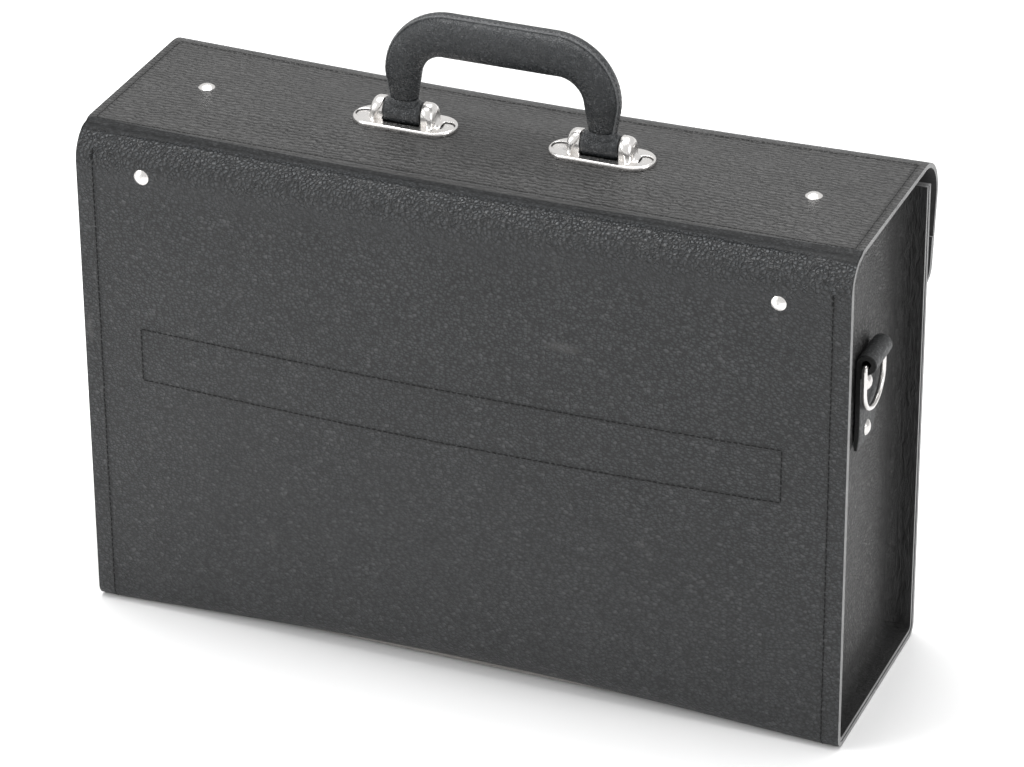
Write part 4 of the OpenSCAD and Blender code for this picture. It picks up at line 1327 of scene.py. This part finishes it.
def inner_face(x, z):
    """The y of the back sheet's inner face, where the strip is sewn on."""
    return HALF_D + back_swell(x, z) - SHEET_T


def thick_grid(name, outer, thickness, materials):
    """A solid sheet from rows of (place, direction its thickness goes in)."""
    rows, wide = len(outer), len(outer[0])
    verts = [p for row in outer for p, _ in row]
    verts += [tuple(np.add(p, np.multiply(d, thickness))) for row in outer for p, d in row]
    under = rows * wide
    faces = grid_faces(rows, wide)
    kinds = [0] * len(faces)
    faces += grid_faces(rows, wide, under, flip=True)
    kinds += [0] * len(kinds)
    loop = [i * wide + j for i, j in border(rows, wide)]
    for a, b in zip(loop, loop[1:] + loop[:1]):
        faces.append((a, under + a, under + b, b))
        kinds.append(1)
    made = new_object(name, verts, faces, materials, kinds, sharp=50)
    return made


def build_strip():
    """The strip inside the back, which sags in the middle as its seam does."""
    rows = []
    for z in np.linspace(strip_low.z, strip_high.z, 9):
        row = []
        for x in np.linspace(-STRIP_X, STRIP_X, 81):
            low = z - STRIP_SAG * bow(x)
            row.append(((x, inner_face(x, low), low), (0, -1, 0)))
        rows.append(row)
    return thick_grid("strip_leather", rows, STRIP_T, [STRIP, EDGE])


def build_loop(index):
    """One arched loop with a sewn foot at each side, opening up and down."""
    low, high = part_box(f"instrument_loop_{index}")
    mid = (low.x + high.x) / 2
    arch_r = strip_low.y - low.y - STRIP_T
    foot = (high.x - low.x) / 2 - arch_r - STRIP_T
    bottom = strip_low.y
    outline = [(-arch_r - foot * t, 0.0) for t in np.linspace(1, 0.15, 5)]
    outline += [(-arch_r * math.cos(a), arch_r * math.sin(a)) for a in np.linspace(0.12, math.pi - 0.12, 24)]
    outline += [(arch_r + foot * t, 0.0) for t in np.linspace(0.15, 1, 5)]
    sag = STRIP_SAG * bow(mid)
    rows = []
    for z in np.linspace(low.z, high.z, 7):
        row = []
        for k, (x, rise) in enumerate(outline):
            before, after = outline[max(0, k - 1)], outline[min(len(outline) - 1, k + 1)]
            dx, dr = after[0] - before[0], after[1] - before[1]
            size = math.hypot(dx, dr)
            lift = inner_face(mid + x, z - sag) - HALF_D + SHEET_T
            row.append(((mid + x, bottom + lift - rise, z - sag), (-dr / size, -dx / size, 0)))
        rows.append(row)
    return thick_grid(f"loop_leather_{index}", rows, STRIP_T, [STRIP, EDGE])


strip = build_strip()
loops = [build_loop(index) for index in LOOPS]
loop_lines = []
for index in LOOPS:
    low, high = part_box(f"instrument_loop_{index}")
    sag = STRIP_SAG * bow((low.x + high.x) / 2)
    for x in (low.x + 3 * MM, high.x - 3 * MM):
        line = [(x, inner_face(x, z - sag) - 2 * STRIP_T, z - sag)
                for z in np.linspace(low.z + 1 * MM, high.z - 1 * MM, 8)]
        loop_lines.append([(np.array(point), INWARD) for point in line])
loop_stitches = stitches("stitches_loops", loop_lines, 11, 2.8 * MM, 0.6 * MM, GREY_THREAD)


# ---- layers under the lid's leather ----

def build_lid_layer(name, node, material):
    """A flat layer of the lid that droops with the leather above it."""
    low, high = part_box(node)
    rows = []
    for y in np.linspace(low.y, high.y, 25):
        rows.append([((x, y, high.z + float(lid_droop(x, y))), (0, 0, -1))
                     for x in np.linspace(low.x, high.x, 61)])
    made = thick_grid(name, rows, high.z - low.z, [material, material])
    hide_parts(node)
    return made


lid_layers = [build_lid_layer("lid_board_bent", "lid_board", BOARD),
              build_lid_layer("lid_lining_cloth", "lid_lining", LINING)]


# ---- CAD nodes that stay, with their finish ----

def dress(material, *names):
    """Gives CAD nodes that stay their finish."""
    for name in names:
        node = nodes[name]
        node.data.materials.clear()
        node.data.materials.append(material)
        if not node.data.has_custom_normals:
            node.data.shade_smooth()


dress(NICKEL, "back_rivets", "lid_rivets", "bracket_rivets", "catch_base_rivets", "strike_rivets",
      "catch_button_left", "catch_button_right", "catch_base_left", "catch_base_right", "strike_plates")
# The strap rings and tab rivets get the darker, shaded copy of the nickel
dress(SHADED_NICKEL, "strap_ring_left", "strap_ring_right", "tab_rivets")
dress(STEEL, "pivot_bars", "catch_washers", "back_bar", "lid_bar", "handle_core")
dress(BOARD, "bottom_board")


# ---- bodies ----

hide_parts("body_sheet", "hinge_bend", "lid_panel")
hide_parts("body_sheet")
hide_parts("lid_panel", "flap_bend", "flap_panel")
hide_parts("flap_strip")
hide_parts("gusset_left")
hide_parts("gusset_right")
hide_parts("handle_grip")
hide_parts("handle_loops")
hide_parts("handle_loops")
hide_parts("handle_bracket_left")
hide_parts("handle_bracket_right")
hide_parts("ring_tab_left")
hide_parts("ring_tab_right")
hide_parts("instrument_strip")
for index, loop in zip(LOOPS, loops):
    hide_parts(f"instrument_loop_{index}")

for piece in (back, rear_stitches):
    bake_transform(piece)
for piece in (flap, fore_stitches):
    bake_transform(piece)
for piece in (front, case_stitches, gusset_left, gusset_right, tab_left, tab_right, strip,
              loop_stitches, *loops):
    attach(piece, "case")
for piece in (bracket_left, bracket_right, *lid_layers):
    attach(piece, "lid")
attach(flap_strip, "flap")
for piece in (grip, welt, handle_stitches, sleeve_left, sleeve_right):
    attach(piece, "handle")


# ---- floor and light ----

def make_floor():
    size = 6.0
    mesh = bpy.data.meshes.new("floor")
    mesh.from_pydata([(-size, -size, 0), (size, -size, 0), (size, size, 0), (-size, size, 0)], [],
                     [(0, 1, 2, 3)])
    s = Shader("floor")
    s.set(Base_Color=s.mix(s.noise(s.place(), 3.0), grey(0.94), grey(0.97)), Roughness=0.9)
    mesh.materials.append(s.material)
    place_object("floor", mesh)


def area_light(name, place, aim, size, power):
    data = bpy.data.lights.new(name, "AREA")
    data.shape = "RECTANGLE"
    data.size, data.size_y = size
    data.energy = power
    light = place_object(name, data)
    light.location = place
    light.rotation_euler = (Vector(aim) - Vector(place)).to_track_quat("-Z", "Y").to_euler()


def make_world(strength):
    world = bpy.data.worlds.new("studio")
    world.use_nodes = True
    background = world.node_tree.nodes["Background"]
    background.inputs["Color"].default_value = (1, 1, 1, 1)
    background.inputs["Strength"].default_value = strength
    bpy.context.scene.world = world


make_floor()
make_world(0.70)
area_light("overhead", (0.2, -0.3, 2.4), (0, 0, 0.1), (2.2, 1.6), 60)
area_light("side", (1.75, 1.5, 1.15), (0.15, 0, 0.2), (1.0, 1.2), 20)
area_light("rim", (-2.6, 0.4, 0.9), (0, 0, 0.1), (1.2, 1.2), 20)
bpy.context.scene.view_settings.view_transform = "Standard"
